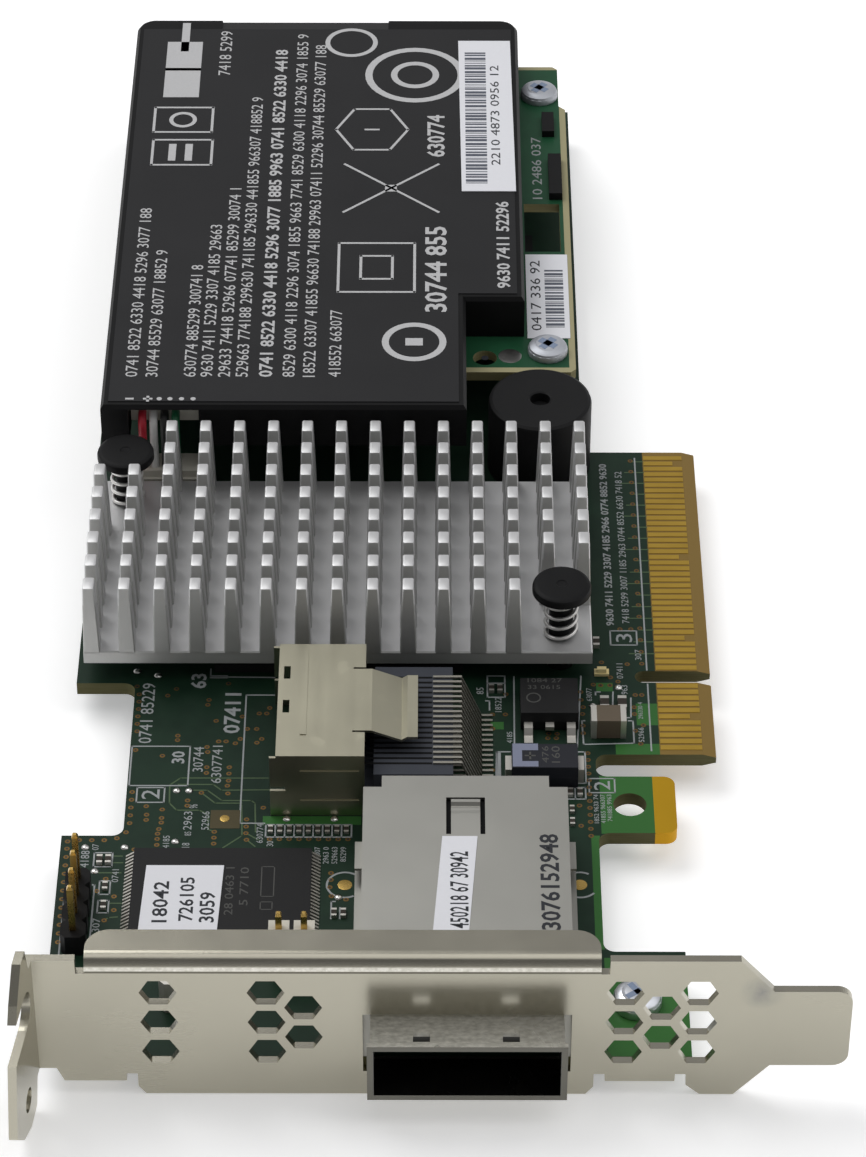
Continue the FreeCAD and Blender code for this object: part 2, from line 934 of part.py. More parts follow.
def internal_contacts():
    """Two rows of bent tails: one over the deck and down to the board, one below it."""
    x0 = left + tail_start_x
    knee = left + tail_knee
    foot = left + tail_foot
    end = left + tail_end
    t = tail_sheet
    z = housing_height
    upper = sharp(
        [(x0, z), (knee, z), (foot, 0), (end, 0), (end, t), (foot + 0.15, t), (knee + 0.15, z + t),
         (x0, z + t)]
    )
    short = left + housing_right
    lower = sharp([(short, 0), (short + 1.6, 0), (short + 1.6, t), (short, t)])
    solids = []
    for y in tail_places():
        solids.append(wall(upper, y - tail_width / 2, y + tail_width / 2))
        solids.append(wall(lower, y - tail_width / 2, y + tail_width / 2))
    return group(solids)


# ---------------------------------------------------------------- external connector
def nose_box(grow, y0, y1):
    """The nose's outer block, grown by an amount on every side but its ends."""
    return box(
        left + cage_left + nose_inset - grow, left + cage_right - nose_inset + grow, y0, y1,
        -nose_drop - grow, cage_height + grow,
    )


def external_cage():
    x0 = left + cage_left
    x1 = left + cage_right
    back = bracket_back + cage_setback
    front = bracket_face - nose_reach
    t = cage_sheet
    shell = box(x0, x1, back, cage_back - cage_step, 0, cage_height)
    shell = shell.fuse(
        box(x0 + cage_step_width, x1 - cage_step_width, cage_back - cage_step, cage_back, 0,
            cage_height)
    )
    room = box(x0 + t, x1 - t, back + t, cage_back - cage_step - t, -1, cage_height - t)
    room = room.fuse(
        box(x0 + cage_step_width + t, x1 - cage_step_width - t, cage_back - cage_step - t,
            cage_back - t, -1, cage_height - t)
    )
    shell = shell.cut(room)
    # The room is open below, and the board closes it.
    nose = nose_box(0, front, back).cut(
        box(x0, x1, board_front, back + 1, -nose_drop - 1, 0)
    )
    lip = nose_box(lip_flare, front, front + lip_length)
    shell = shell.fuse([nose, lip])
    shell = shell.cut(nose_box(-t, front - 1, board_front))
    shell = shell.cut(
        box(x0 + nose_inset + t, x1 - nose_inset - t, board_front - 0.01, back + t + 0.01, -1,
            cage_height - t)
    )
    middle = (x0 + x1) / 2
    for x in (middle - 4.45, middle + 4.25):
        window = box(x - nose_window_width / 2, x + nose_window_width / 2,
                     front + 1.0, front + 1.0 + nose_window_length, cage_height - 1,
                     cage_height + 1)
        shell = shell.cut(window)
        finger = bar(
            sharp([(front + 3.1, cage_height), (front + 2.2, cage_height - 0.1),
                   (front + 1.5, cage_height - 0.9), (front + 1.5, cage_height - 1.1),
                   (front + 2.3, cage_height - 0.35), (front + 3.1, cage_height - 0.35)]),
            x - nose_window_width / 2, x + nose_window_width / 2,
        )
        shell = shell.fuse(finger)
    # A latch tongue on the roof: slots on three sides, its free end folded up.
    tongue = 1.5
    roof_z = cage_height - 1
    latch_far = cage_back - 3.3
    latch_near = latch_far - 5.5
    for a, b in ((-tongue - 0.5, -tongue), (tongue, tongue + 0.5)):
        shell = shell.cut(box(middle + a, middle + b, latch_near, latch_far, roof_z, cage_height + 1))
    shell = shell.cut(
        box(middle - tongue - 0.5, middle + tongue + 0.5, latch_far - 0.25, latch_far, roof_z,
            cage_height + 1)
    )
    # The free end is pressed into two low ridges.
    h = cage_height
    for peak, rise in ((latch_far - 0.85, 0.35), (latch_far - 1.95, 0.18)):
        ridge = sharp([(peak - 0.45, h - t), (peak + 0.45, h - t), (peak + 0.45, h),
                       (peak + 0.2, h + rise), (peak - 0.2, h + rise), (peak - 0.45, h)])
        shell = shell.fuse(bar(ridge, middle - tongue, middle + tongue))
    # Feet along the board and a spring tab on each side.
    for x, sign in ((x0, -1), (x1, 1)):
        foot = sorted((x, x + sign * 0.85))
        shell = shell.fuse(box(foot[0], foot[1], back + 7, cage_back - 6, 0, t))
        shell = shell.fuse(box(foot[0], foot[1], cage_back - 9.2, cage_back - 5.2, 1.7, 2.0))
    return shell.removeSplitter()


def core_front():
    return bracket_face + 0.6


def external_core():
    """The moulded core: a block in the cage with a nose that has the plug's slot."""
    middle = left + (cage_left + cage_right) / 2
    t = cage_sheet + 0.1
    half = (cage_right - cage_left) / 2 - cage_step_width - t
    block = box(middle - half, middle + half, cage_back - 13.0, cage_back - t, 0, cage_height - t)
    centre = cage_height / 2
    half_nose = core_width / 2
    nose = box(middle - half_nose, middle + half_nose, core_front(), cage_back - 13.0,
               centre - core_height / 2, centre + core_height / 2)
    slot = box(middle - half_nose + 0.8, middle + half_nose - 0.8, core_front() - 1,
               core_front() + 8, centre - core_slot / 2, centre + core_slot / 2)
    return block.fuse(nose).cut(slot).removeSplitter()


def external_contacts():
    """Contact blades on both faces of the plug's slot."""
    middle = left + (cage_left + cage_right) / 2
    centre = cage_height / 2
    solids = []
    for i in range(blade_count):
        x = middle + (i - (blade_count - 1) / 2) * blade_pitch
        for z0 in (centre - core_slot / 2, centre + core_slot / 2 - blade_sheet):
            solids.append(
                box(x - blade_width / 2, x + blade_width / 2, core_front() + 0.6,
                    core_front() + 8, z0, z0 + blade_sheet)
            )
    return group(solids)


# ---------------------------------------------------------------- chips
def flash_body():
    x0 = left + flash_left
    return box(x0, x0 + flash_length, flash_far - flash_width, flash_far, flash_standoff,
               flash_height)


def flash_leads():
    """Gull-wing leads on the two short sides."""
    z = (flash_standoff + flash_height) / 2
    t = lead_sheet
    first = flash_far - flash_width / 2 + lead_pitch * (lead_count - 1) / 2
    solids = []
    for start, way in ((left + flash_left, -1), (left + flash_left + flash_length, 1)):
        section = sharp(
            [(start, z), (start + way * 0.40, 0), (start + way * lead_reach, 0),
             (start + way * lead_reach, t), (start, z + t)]
        )
        for i in range(lead_count):
            y = first - i * lead_pitch
            solids.append(wall(section, y - lead_width / 2, y + lead_width / 2))
    return group(solids)


def regulator_body():
    x0 = left + regulator_left
    x1 = x0 + regulator_width
    y0 = regulator_near
    y1 = regulator_near + regulator_length
    section = sharp([(y0, 0.12), (y1, 0.12), (y1, 1.1), (y1 - 0.2, regulator_height),
                     (y0 + 0.25, regulator_height), (y0, 1.2)])
    return bar(section, x0, x1)


def regulator_leads():
    """The heat tab and three leads; the middle lead is cut short."""
    middle = left + regulator_left + regulator_width / 2
    near = regulator_near
    half = regulator_lead_width / 2
    t = regulator_lead_sheet
    z = 0.65
    solids = [
        box(middle - 2.6, middle + 2.6, near + regulator_length, near + regulator_length + 0.9, 0,
            t)
    ]
    bent = sharp(
        [(near, z), (near - 0.7, z), (near - 1.2, 0), (near - 2.6, 0), (near - 2.6, t),
         (near - 1.45, t), (near - 0.95, z + t), (near, z + t)]
    )
    for way in (-1, 1):
        x = middle + way * regulator_lead_pitch
        solids.append(bar(bent, x - half, x + half))
    solids.append(box(middle - half, middle + half, near - 0.8, near, z, z + t))
    return group(solids)


def tantalum_body():
    x0 = left + tantalum_left
    y0 = tantalum_near
    y1 = tantalum_near + tantalum_width
    section = sharp([(y0 + 0.15, 0.1), (y1 - 0.15, 0.1), (y1, 1.4), (y1 - 0.15, tantalum_height),
                     (y0 + 0.15, tantalum_height), (y0, 1.4)])
    return bar(section, x0, x0 + tantalum_length)


def tantalum_terminals():
    y = tantalum_near + tantalum_width / 2
    x0 = left + tantalum_left
    x1 = x0 + tantalum_length
    half = terminal_width / 2
    return group(
        [
            box(x0 - terminal_reach, x0, y - half, y + half, 0, terminal_height),
            box(x1, x1 + terminal_reach, y - half, y + half, 0, terminal_height),
        ]
    )


def ceramic_body():
    x0 = left + ceramic_left + ceramic_cap
    x1 = left + ceramic_left + ceramic_length - ceramic_cap
    return box(x0, x1, ceramic_near, ceramic_near + ceramic_width, 0.05, ceramic_height)


def ceramic_ends():
    x0 = left + ceramic_left
    x1 = x0 + ceramic_length
    y0 = ceramic_near
    y1 = ceramic_near + ceramic_width
    return group(
        [
            box(x0, x0 + ceramic_cap, y0, y1, 0, ceramic_height),
            box(x1 - ceramic_cap, x1, y0, y1, 0, ceramic_height),
        ]
    )


def chip_places():
    """Middles of the small chips, from the card's left edge, with a size factor each."""
    places = [(row_start + row_pitch * i, row_line, 1.0) for i in range(row_count)]
    flash_right = flash_left + flash_length + lead_reach
    ceramic_far = ceramic_near + ceramic_width
    places += [(ceramic_left + x, ceramic_far + 2.60, 1.9) for x in (1.60, 3.50)]
    places += [(flash_left - 3.60, -29.2, 1.2), (flash_left - 2.70, -29.2, 1.2)]
    places += [(flash_left - 2.80, y, 1.1) for y in (-33.1, -35.9)]
    places += [(regulator_left - x, regulator_near + 6.50, 1.1) for x in (3.05, 2.15)]
    places += [(flash_right + x, -37.0, 1.1) for x in (1.50, 2.45)]
    places += [(cage_right + x, cage_back + 4.30, 1.1) for x in (0.60, 1.60)]
    places += [(cage_right + 0.70, cage_back + y, 1.0) for y in (1.70, -0.20)]
    places += [(sink_left + sink_width + 0.65, 5.4, 1.4)]
    return places


def small_chip(x, y, factor, ends):
    half = chip_length * factor / 2
    side = chip_width * factor / 2
    cap = chip_cap * factor
    height = chip_height * factor
    x = left + x
    if not ends:
        return [box(x - side, x + side, y - half + cap, y + half - cap, 0.03, height)]
    return [
        box(x - side, x + side, y - half, y - half + cap, 0, height),
        box(x - side, x + side, y + half - cap, y + half, 0, height),
    ]


def small_chips(ends):
    solids = []
    for x, y, factor in chip_places():
        solids += small_chip(x, y, factor, ends)
    return group(solids)


def crystal_can():
    """A plain metal can that shows through the vents; its corners are cut."""
    x0 = left + can_left
    x1 = x0 + can_width
    y1 = can_near + can_length
    cut = 0.6
    corners = [(x0 + cut, can_near), (x1 - cut, can_near), (x1, can_near + cut), (x1, y1 - cut),
               (x1 - cut, y1), (x0 + cut, y1), (x0, y1 - cut), (x0, can_near + cut)]
    return plate(sharp(corners), 0, can_height)


def status_led():
    x0 = left + 56.25
    base = box(x0, x0 + 1.6, 0.05, 0.95, 0, 0.35)
    lens = bar(sharp([(0.15, 0.35), (0.85, 0.35), (0.75, 0.85), (0.25, 0.85)]), x0 + 0.3, x0 + 1.3)
    return base.fuse(lens).removeSplitter()


# ---------------------------------------------------------------- headers
def key_base():
    """The header's body: one cell to a pin, each with its corners cut."""
    half = pin_pitch / 2
    edge = half - key_cell_cut
    x = left + key_pin_x
    cells = []
    for y in key_pin_places():
        corners = [(x - edge, y - half), (x + edge, y - half), (x + half, y - edge),
                   (x + half, y + edge), (x + edge, y + half), (x - edge, y + half),
                   (x - half, y + edge), (x - half, y - edge)]
        cells.append(plate(sharp(corners), 0, key_base_height))
    body = cells[0].fuse(cells[1:]).removeSplitter()
    pins = [pin_bar(y, -1, pin_top) for y in key_pin_places()]
    return body.cut(group(pins))


def key_pin_places():
    return [key_pin_first + pin_pitch * i for i in range(key_pin_count)]


def pin_bar(y, z0, z1):
    x = left + key_pin_x
    half = pin_side / 2
    return box(x - half, x + half, y - half, y + half, z0, z1)


def pointed_pin(x, y, z0, z1):
    """A square header pin with a chamfered tip."""
    half = pin_side / 2
    tip = half * 0.55
    slope = 0.35
    shaft = box(x - half, x + half, y - half, y + half, z0, z1 - slope)
    wide = [(x - half, y - half), (x + half, y - half), (x + half, y + half), (x - half, y + half)]
    narrow = [(x - tip, y - tip), (x + tip, y - tip), (x + tip, y + tip), (x - tip, y + tip)]
    return shaft.fuse(tapered(wide, z1 - slope, narrow, z1)).removeSplitter()


def key_pins():
    x = left + key_pin_x
    return group([pointed_pin(x, y, 0, pin_top) for y in key_pin_places()])


def pair_places():
    return [left + pair_left + pin_pitch * i for i in range(2)]


def pair_base():
    half = pair_base_side / 2
    hole = pin_side / 2
    solids = []
    for x in pair_places():
        post = box(x - half, x + half, pair_line - half, pair_line + half, 0, pair_base_height)
        solids.append(
            post.cut(box(x - hole, x + hole, pair_line - hole, pair_line + hole, -1, pin_top))
        )
    return group(solids)


def pair_pins():
    return group([pointed_pin(x, pair_line, 0, pair_pin_top) for x in pair_places()])


def buzzer():
    x = left + buzzer_x
    body = plate(sharp(ring_points(x, buzzer_y, buzzer_radius, buzzer_flats)), 0, buzzer_height)
    port = small_rod(x, buzzer_y, buzzer_height - buzzer_port_depth, buzzer_height + 1,
                     buzzer_port_radius)
    return body.cut(port)


# ---------------------------------------------------------------- battery deck
def deck_board():
    right = left + deck_right
    corners = sharp(
        [(left + deck_left, deck_near), (right - deck_corner, deck_near),
         (right, deck_near + deck_corner), (right, deck_step_at),
         (right - deck_step, deck_step_at + 0.8), (right - deck_step, deck_far - deck_corner),
         (right - deck_step - deck_corner, deck_far), (left + deck_left, deck_far)]
    )
    board = plate(corners, deck_bottom, deck_top)
    cutters = [
        small_rod(x, y, deck_bottom - 1, deck_top + 1, deck_screw_radius)
        for x, y in top_screw_places
    ]
    ring = ring_points(left + deck_hole_x, deck_hole_y, deck_hole_radius, 24)
    cutters.append(plate(sharp(ring), deck_bottom - 1, deck_top + 1))
    cutters.append(
        box(left + deck_notch_left, left + deck_notch_right, deck_notch_near, deck_notch_far,
            deck_bottom - 1, deck_top + 1)
    )
    return board.cut(group(cutters))


def standoffs():
    """Four hexagonal posts soldered to the card; each has a blind threaded hole on top."""
    corner = standoff_flats / math.sqrt(3)
    depth = deck_screw_length - deck_thickness
    solids = []
    for x, y in standoff_places:
        points = [
            (x + corner * math.cos(math.radians(60 * i + 30)),
             y + corner * math.sin(math.radians(60 * i + 30)))
            for i in range(6)
        ]
        post = plate(sharp(points), 0, deck_bottom)
        hole = small_rod(x, y, deck_bottom - depth, deck_bottom + 1, deck_screw_radius)
        solids.append(post.cut(hole))
    return group(solids)


def deck_screws():
    return group(
        [
            pan_screw(x, y, deck_top, deck_screw_length, deck_screw_radius, deck_screw_head,
                      deck_screw_height)
            for x, y in top_screw_places
        ]
    )


def deck_parts():
    """Two low parts at the right rim of the battery board."""
    plug_right = left + deck_right - deck_plug_inset
    part_right = left + deck_right - deck_part_inset
    return group(
        [
            box(plug_right - deck_plug_width, plug_right, deck_plug_near,
                deck_plug_near + deck_plug_length, deck_top, deck_top + deck_plug_height),
            box(part_right - deck_part_width, part_right, deck_part_near,
                deck_part_near + deck_part_length, deck_top, deck_top + deck_part_height),
        ]
    )


def link_socket():
    x0 = left + link_left
    body = box(x0, x0 + link_width, link_near, link_near + link_length, 0, link_split)
    slot = box(x0 + 1.2, x0 + link_width - 1.2, link_near + 1, link_near + link_length - 1, 1.6,
               link_split + 1)
    return body.cut(slot)


def link_plug():
    x0 = left + link_left
    body = box(x0, x0 + link_width, link_near, link_near + link_length, link_split, deck_bottom)
    blade = box(x0 + 1.4, x0 + link_width - 1.4, link_near + 1.2, link_near + link_length - 1.2,
                2.0, link_split)
    return body.fuse(blade).removeSplitter()


def memory_chips():
    solids = []
    for i in range(memory_count):
        x0 = left + memory_left + memory_pitch * i
        solids.append(
            box(x0, x0 + memory_width, memory_near, memory_near + memory_length, 0, memory_height)
        )
    return group(solids)


# ---------------------------------------------------------------- battery pack and lead
def plug_width():
    return plug_pitch * (plug_ways - 1) + 2 * plug_margin


def pack_corners(inset):
    """The pack's outline in plan, drawn in by an amount."""
    return [
        (left + pack_left + inset, pack_near + inset, 0),
        (left + pack_neck_right - inset, pack_near + inset, 0),
        (left + pack_neck_right - inset, pack_neck + inset, 0),
        (left + pack_right - inset, pack_neck + inset, 0),
        (left + pack_right - inset, pack_far - inset, pack_corner - inset),
        (left + pack_left + inset, pack_far - inset, pack_corner - inset),
    ]


def battery_pack():
    """The sealed pack, with a bay under its front edge for the plug."""
    shell_top = pack_top - label_thickness
    lower = plate(pack_corners(0), pack_bottom, shell_top - pack_edge)
    rim_low = outline(pack_corners(0), lambda p: V(p.x, p.y, shell_top - pack_edge))
    rim_high = outline(pack_corners(pack_edge * 0.8), lambda p: V(p.x, p.y, shell_top))
    rim = Part.makeLoft([rim_low, rim_high], True, True)
    pack = lower.fuse(rim).removeSplitter()
    x0 = left + plug_left - plug_gap
    bay = box(x0, x0 + plug_width() + 2 * plug_gap, pack_near - 1, plug_face + plug_depth,
              pack_bottom - 1, pack_top - pack_top_wall)
    dip = Part.Face(
        outline(
            sharp([(pack_far + 1, shell_top - pack_dip), (pack_far + 1, shell_top + 1),
                   (pack_far - pack_dip_depth, shell_top + 1),
                   (pack_far - pack_dip_depth, shell_top)]),
            lambda p: V(left + pack_dip_left, p.x, p.y),
        )
    ).extrude(V(pack_dip_right - pack_dip_left, 0, 0))
    return pack.cut(bay).cut(dip)


def battery_label():
    """The printed label on the pack's flat top, ending before the dip at the far edge."""
    inset = pack_edge * 0.8 + label_margin
    x0 = left + pack_left + inset
    x1 = left + pack_neck_right - inset
    x2 = left + pack_right - inset
    y0 = pack_near + inset
    y1 = pack_neck + inset
    y2 = pack_far - pack_dip_depth - 0.1
    corners = [(x0, y0), (x1, y0), (x1, y1), (x2, y1), (x2, y2), (x0, y2)]
    return plate(sharp(corners), pack_top - label_thickness, pack_top)


def wire_way(number):
    return left + plug_left + plug_margin + plug_pitch * number


def plug_middle():
    return pack_top - pack_top_wall - plug_gap - plug_height / 2


def battery_plug():
    """The plug in the pack's bay, with bevelled upper edges."""
    x0 = left + plug_left
    x1 = x0 + plug_width()
    z0 = plug_middle() - plug_height / 2
    z1 = plug_middle() + plug_height / 2
    corners = [(x0, z0), (x1, z0), (x1, z1 - 0.5), (x1 - 0.5, z1), (x0 + 0.5, z1),
               (x0, z1 - 0.5)]
    return wall(sharp(corners), plug_face, plug_face + plug_depth)


def lead_socket():
    """The card's own header for the battery lead: the wires go down into its top."""
    x0 = left + plug_left
    x1 = x0 + plug_width()
    y1 = socket_near + socket_depth
    top = socket_height
    section = sharp([(socket_near, 0), (y1, 0), (y1, top), (socket_near + 0.4, top),
                     (socket_near + 0.4, top - 0.9), (socket_near, top - 0.9)])
    return bar(section, x0, x1)


def wire(number):
    """One wire of the lead: straight out of the plug, round one bend, straight down."""
    x = wire_way(number)
    z = plug_middle()
    bend_start = V(x, wire_line + wire_bend, z)
    bend_end = V(x, wire_line, z - wire_bend)
    turn = wire_bend * (1 - math.sqrt(0.5))
    start = V(x, plug_face, z)
    path = Part.Wire(
        [
            Part.LineSegment(start, bend_start).toShape(),
            Part.Arc(bend_start, V(x, wire_line + turn, z - turn), bend_end).toShape(),
            Part.LineSegment(bend_end, V(x, wire_line, socket_height)).toShape(),
        ]
    )
    points = [
        V(x + wire_radius * math.cos(math.radians(60 * i)), plug_face,
          z + wire_radius * math.sin(math.radians(60 * i)))
        for i in range(6)
    ]
    section = Part.makePolygon(points + [points[0]])
    return path.makePipeShell([section], True, False)


# ---------------------------------------------------------------- labels
def tilted_label(x0, y0, x1, y1, width, z):
    """A paper strip from one end point to another, as wide as given, lying at a height."""
    corners = [(left + x0, y0), (left + x0 + width, y0), (left + x1 + width, y1),
               (left + x1, y1)]
    return plate(sharp(corners), z, z + label_thickness)


def labels():
    """Each label's two end points come from the piece that carries it."""
    flash_x = flash_left + flash_label_inset
    flash_y = flash_far - flash_width + flash_label_edge
    port_x = (cage_left + cage_right) / 2 - port_label_width / 2 - port_label_shift
    port_y = cage_back - port_label_back - port_label_length
    pack_x = pack_right - pack_label_edge - pack_label_width
    pack_y = pack_far - pack_label_back
    deck_x = deck_right - deck_label_edge - deck_label_width
    deck_y = deck_near + deck_label_inset
    return {
        "flash_label": tilted_label(
            flash_x, flash_y, flash_x + flash_label_lean, flash_y + flash_label_length,
            flash_label_width, flash_height),
        "port_label": tilted_label(
            port_x - port_label_lean, port_y, port_x, port_y + port_label_length,
            port_label_width, cage_height),
        "pack_barcode_label": tilted_label(
            pack_x, pack_y - pack_label_length, pack_x - pack_label_lean, pack_y,
            pack_label_width, pack_top),
        "deck_barcode_label": tilted_label(
            deck_x, deck_y, deck_x, deck_y + deck_label_length, deck_label_width, deck_top),
    }


# ---------------------------------------------------------------- write the pieces
def build():
    os.makedirs("parts", exist_ok=True)
    export("circuit_board", circuit_board())
    export("edge_contacts_top", edge_contacts(0, contact_thickness, (5, 16, 30, 47)))
    export("edge_contacts_bottom",
           edge_contacts(board_bottom - contact_thickness, board_bottom, ()))
    export("mounting_bracket", bracket())
    export("bracket_screws", bracket_screws())
    export("processor", processor())
    export("thermal_pad", thermal_pad())
    export("heatsink", heatsink())
    export("push_pins", group([push_pin(x, y) for x, y in push_places]))
    export("push_pin_springs", group([push_spring(x, y) for x, y in push_places]))
    export("internal_connector_shell", internal_shell())
    export("internal_connector_housing", internal_housing())
    export("internal_connector_contacts", internal_contacts())
    export("external_connector_cage", external_cage())
    export("external_connector_core", external_core())
    export("external_connector_contacts", external_contacts())
    export("flash_memory", flash_body())
    export("flash_memory_leads", flash_leads())
    export("voltage_regulator", regulator_body())
    export("voltage_regulator_leads", regulator_leads())
    export("tantalum_capacitor", tantalum_body())
    export("tantalum_terminals", tantalum_terminals())
    export("ceramic_capacitor", ceramic_body())
    export("ceramic_capacitor_ends", ceramic_ends())
    export("small_chips", small_chips(False))
    export("small_chip_ends", small_chips(True))
    export("status_led", status_led())
    export("crystal_can", crystal_can())
    export("key_header_base", key_base())
    export("key_header_pins", key_pins())
    export("activity_header_bases", pair_base())
    export("activity_header_pins", pair_pins())
    export("alarm_buzzer", buzzer())
    export("memory_chips", memory_chips())
    export("link_socket", link_socket())
    export("link_plug", link_plug())
    export("battery_board", deck_board())
    export("battery_board_parts", deck_parts())
    export("standoffs", standoffs())
    export("battery_board_screws", deck_screws())
    export("battery_pack", battery_pack())
    export("battery_label", battery_label())
    export("battery_plug", battery_plug())
    export("battery_lead_socket", lead_socket())
    for number, colour in ((0, "red"), (1, "white"), (2, "black"), (3, "green")):
        export(colour + "_wire", wire(number))
    for name, shape in labels().items():
        export(name, shape)


print("battery lead: one bend of radius", wire_bend, "mm in each wire")
build()
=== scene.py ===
import bpy
import math
import numpy as np
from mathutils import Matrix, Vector


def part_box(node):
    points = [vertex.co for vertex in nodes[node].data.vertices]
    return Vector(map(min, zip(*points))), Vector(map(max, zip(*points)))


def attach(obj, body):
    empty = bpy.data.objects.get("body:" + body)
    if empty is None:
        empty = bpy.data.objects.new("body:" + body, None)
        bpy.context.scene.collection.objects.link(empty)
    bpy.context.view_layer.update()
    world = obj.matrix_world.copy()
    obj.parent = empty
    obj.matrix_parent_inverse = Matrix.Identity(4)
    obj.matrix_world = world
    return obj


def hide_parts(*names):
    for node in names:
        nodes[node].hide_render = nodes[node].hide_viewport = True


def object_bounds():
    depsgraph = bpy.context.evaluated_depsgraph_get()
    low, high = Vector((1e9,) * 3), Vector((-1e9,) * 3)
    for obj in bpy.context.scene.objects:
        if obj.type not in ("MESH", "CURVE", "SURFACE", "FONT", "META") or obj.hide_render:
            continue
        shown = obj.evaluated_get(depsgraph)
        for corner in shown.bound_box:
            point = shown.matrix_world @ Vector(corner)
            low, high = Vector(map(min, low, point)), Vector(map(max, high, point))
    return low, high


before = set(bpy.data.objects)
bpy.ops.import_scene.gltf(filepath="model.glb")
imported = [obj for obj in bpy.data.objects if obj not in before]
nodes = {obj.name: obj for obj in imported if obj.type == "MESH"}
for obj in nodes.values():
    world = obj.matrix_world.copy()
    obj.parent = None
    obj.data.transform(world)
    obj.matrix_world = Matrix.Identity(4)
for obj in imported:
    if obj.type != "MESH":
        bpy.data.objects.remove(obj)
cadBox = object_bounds()
mm = 0.001
cardHeight = 68.9                      # from the board's left edge to the tongue's tip
print("frame loaded:", len(nodes), "nodes")


# Shader writing. Sock is one output socket, and +, - and * on it add Math nodes.
class Sock:
    def __init__(self, shade, socket):
        self.shade = shade
        self.socket = socket

    def math(self, operation, other=None):
        values = {0: self} if other is None else {0: self, 1: other}
        return self.shade.add("ShaderNodeMath", dict(operation=operation), values)

    def __add__(self, other): return self.math("ADD", other)
    def __radd__(self, other): return self.math("ADD", other)
    def __sub__(self, other): return self.math("SUBTRACT", other)
    def __mul__(self, other): return self.math("MULTIPLY", other)
    def __rmul__(self, other): return self.math("MULTIPLY", other)

    def __rsub__(self, other):
        return self.shade.add("ShaderNodeMath", dict(operation="SUBTRACT"), {0: other, 1: self})

    def above(self, edge): return self.math("GREATER_THAN", edge)
    def below(self, edge): return self.math("LESS_THAN", edge)
    def within(self, low, high): return self.above(low) * self.below(high)
    def either(self, other): return self.math("MAXIMUM", other)
    def clamp(self): return self.shade.add("ShaderNodeClamp", {}, {0: self})


socketNames = {
    "metal": "Metallic", "coat": "Coat Weight", "coatRough": "Coat Roughness",
    "specular": "Specular IOR Level",
}


class Shade:
    # One material. add() makes any node: its settings first, then its values and links.
    def __init__(self, name, **fixed):
        self.material = bpy.data.materials.new(name)
        self.material.use_nodes = True
        self.tree = self.material.node_tree
        self.shader = self.tree.nodes["Principled BSDF"]
        for key, value in fixed.items():
            self.set(socketNames[key], value)
        coords = self.tree.nodes.new("ShaderNodeTexCoord")
        self.place = Sock(self, coords.outputs["Object"])
        split = self.add("ShaderNodeSeparateXYZ", {}, {0: self.place}, output=None)
        self.x, self.y, self.z = (Sock(self, out) for out in split.outputs)

    def add(self, kind, settings, values, output=0):
        node = self.tree.nodes.new(kind)
        for key, value in settings.items():
            setattr(node, key, value)
        for key, value in values.items():
            self.feed(node.inputs[key], value)
        return node if output is None else Sock(self, node.outputs[output])

    def feed(self, target, value):
        if isinstance(value, Sock):
            self.tree.links.new(value.socket, target)
        elif target.type == "RGBA" and len(value) == 3:
            target.default_value = (*value, 1)
        else:
            target.default_value = value

    def set(self, name, value):
        self.feed(self.shader.inputs[name], value)

    def noise(self, scale, detail=2.0, rough=0.5, vector=None):
        return self.add("ShaderNodeTexNoise", {}, {
            "Vector": vector or self.place, "Scale": scale, "Detail": detail,
            "Roughness": rough})

    def stretched(self, x, y, z):
        return self.add("ShaderNodeMapping", {}, {"Vector": self.place, "Scale": (x, y, z)})

    def mix(self, factor, one, two):
        return self.add("ShaderNodeMix", dict(data_type="RGBA"),
                        {0: factor, 6: one, 7: two}, output=2)

    def bump(self, height, strength, distance=0.0001):
        self.set("Normal", self.add("ShaderNodeBump", {}, {
            "Strength": strength, "Distance": distance, "Height": height}))

    def box(self, x0, x1, y0, y1):
        # 1 inside a rectangle of the card, in millimetres from its left edge
        return (self.x.within((x0 - cardHeight) * mm, (x1 - cardHeight) * mm)
                * self.y.within(y0 * mm, y1 * mm))

    def boxes(self, rows):
        # 1 inside any of the rectangles, or None where the list is empty
        found = None
        for row in rows:
            inside = self.box(*row)
            found = inside if found is None else found.either(inside)
        return found

    def between(self, low, high):
        # 1 between two heights in millimetres
        return self.z.within(low * mm, high * mm)

    def facing(self, axis):
        # how far the surface faces along an axis, 0 to 1, whatever the sign
        geometry = self.add("ShaderNodeNewGeometry", {}, {}, output=None)
        split = self.add("ShaderNodeSeparateXYZ", {},
                         {0: Sock(self, geometry.outputs["Normal"])}, output=None)
        return Sock(self, split.outputs[axis]).math("ABSOLUTE")


def shaded(colour, factor):
    return tuple(min(1.0, c * factor) for c in colour)


# Metal with a faint drawn grain, clouds in its gloss and a few dull handling marks.
def platedSteel(name, colour, rough, grain=(600, 9000, 600), depth=0.05, cloudy=0.12,
                metal=1.0):
    s = Shade(name, metal=metal)
    lines = s.noise(1.0, 3, vector=s.stretched(*grain))
    cloud = s.noise(90, 4, 0.6)
    marks = s.noise(330, 2).above(0.68) * 0.5
    s.set("Base Color", s.mix((cloud + marks * 0.3).clamp(), shaded(colour, 1 - cloudy), colour))
    s.set("Roughness", rough + (lines - 0.5) * 0.10 + (cloud - 0.5) * 0.10 + marks * 0.06)
    s.bump(lines, depth, 0.00002)
    return s.material


# Moulded plastic: fine spark-eroded grain and faint flow marks.
def mouldedPlastic(name, colour, rough, grainSize=5000, grainDepth=0.25, specular=0.11):
    s = Shade(name, specular=specular)
    cloud = s.noise(120, 3)
    s.set("Base Color", s.mix(cloud, colour, tuple(min(1, c * 1.3 + 0.004) for c in colour)))
    s.set("Roughness", rough + (cloud - 0.5) * 0.14)
    s.bump(s.noise(grainSize, 2), grainDepth, 0.00002)
    return s.material


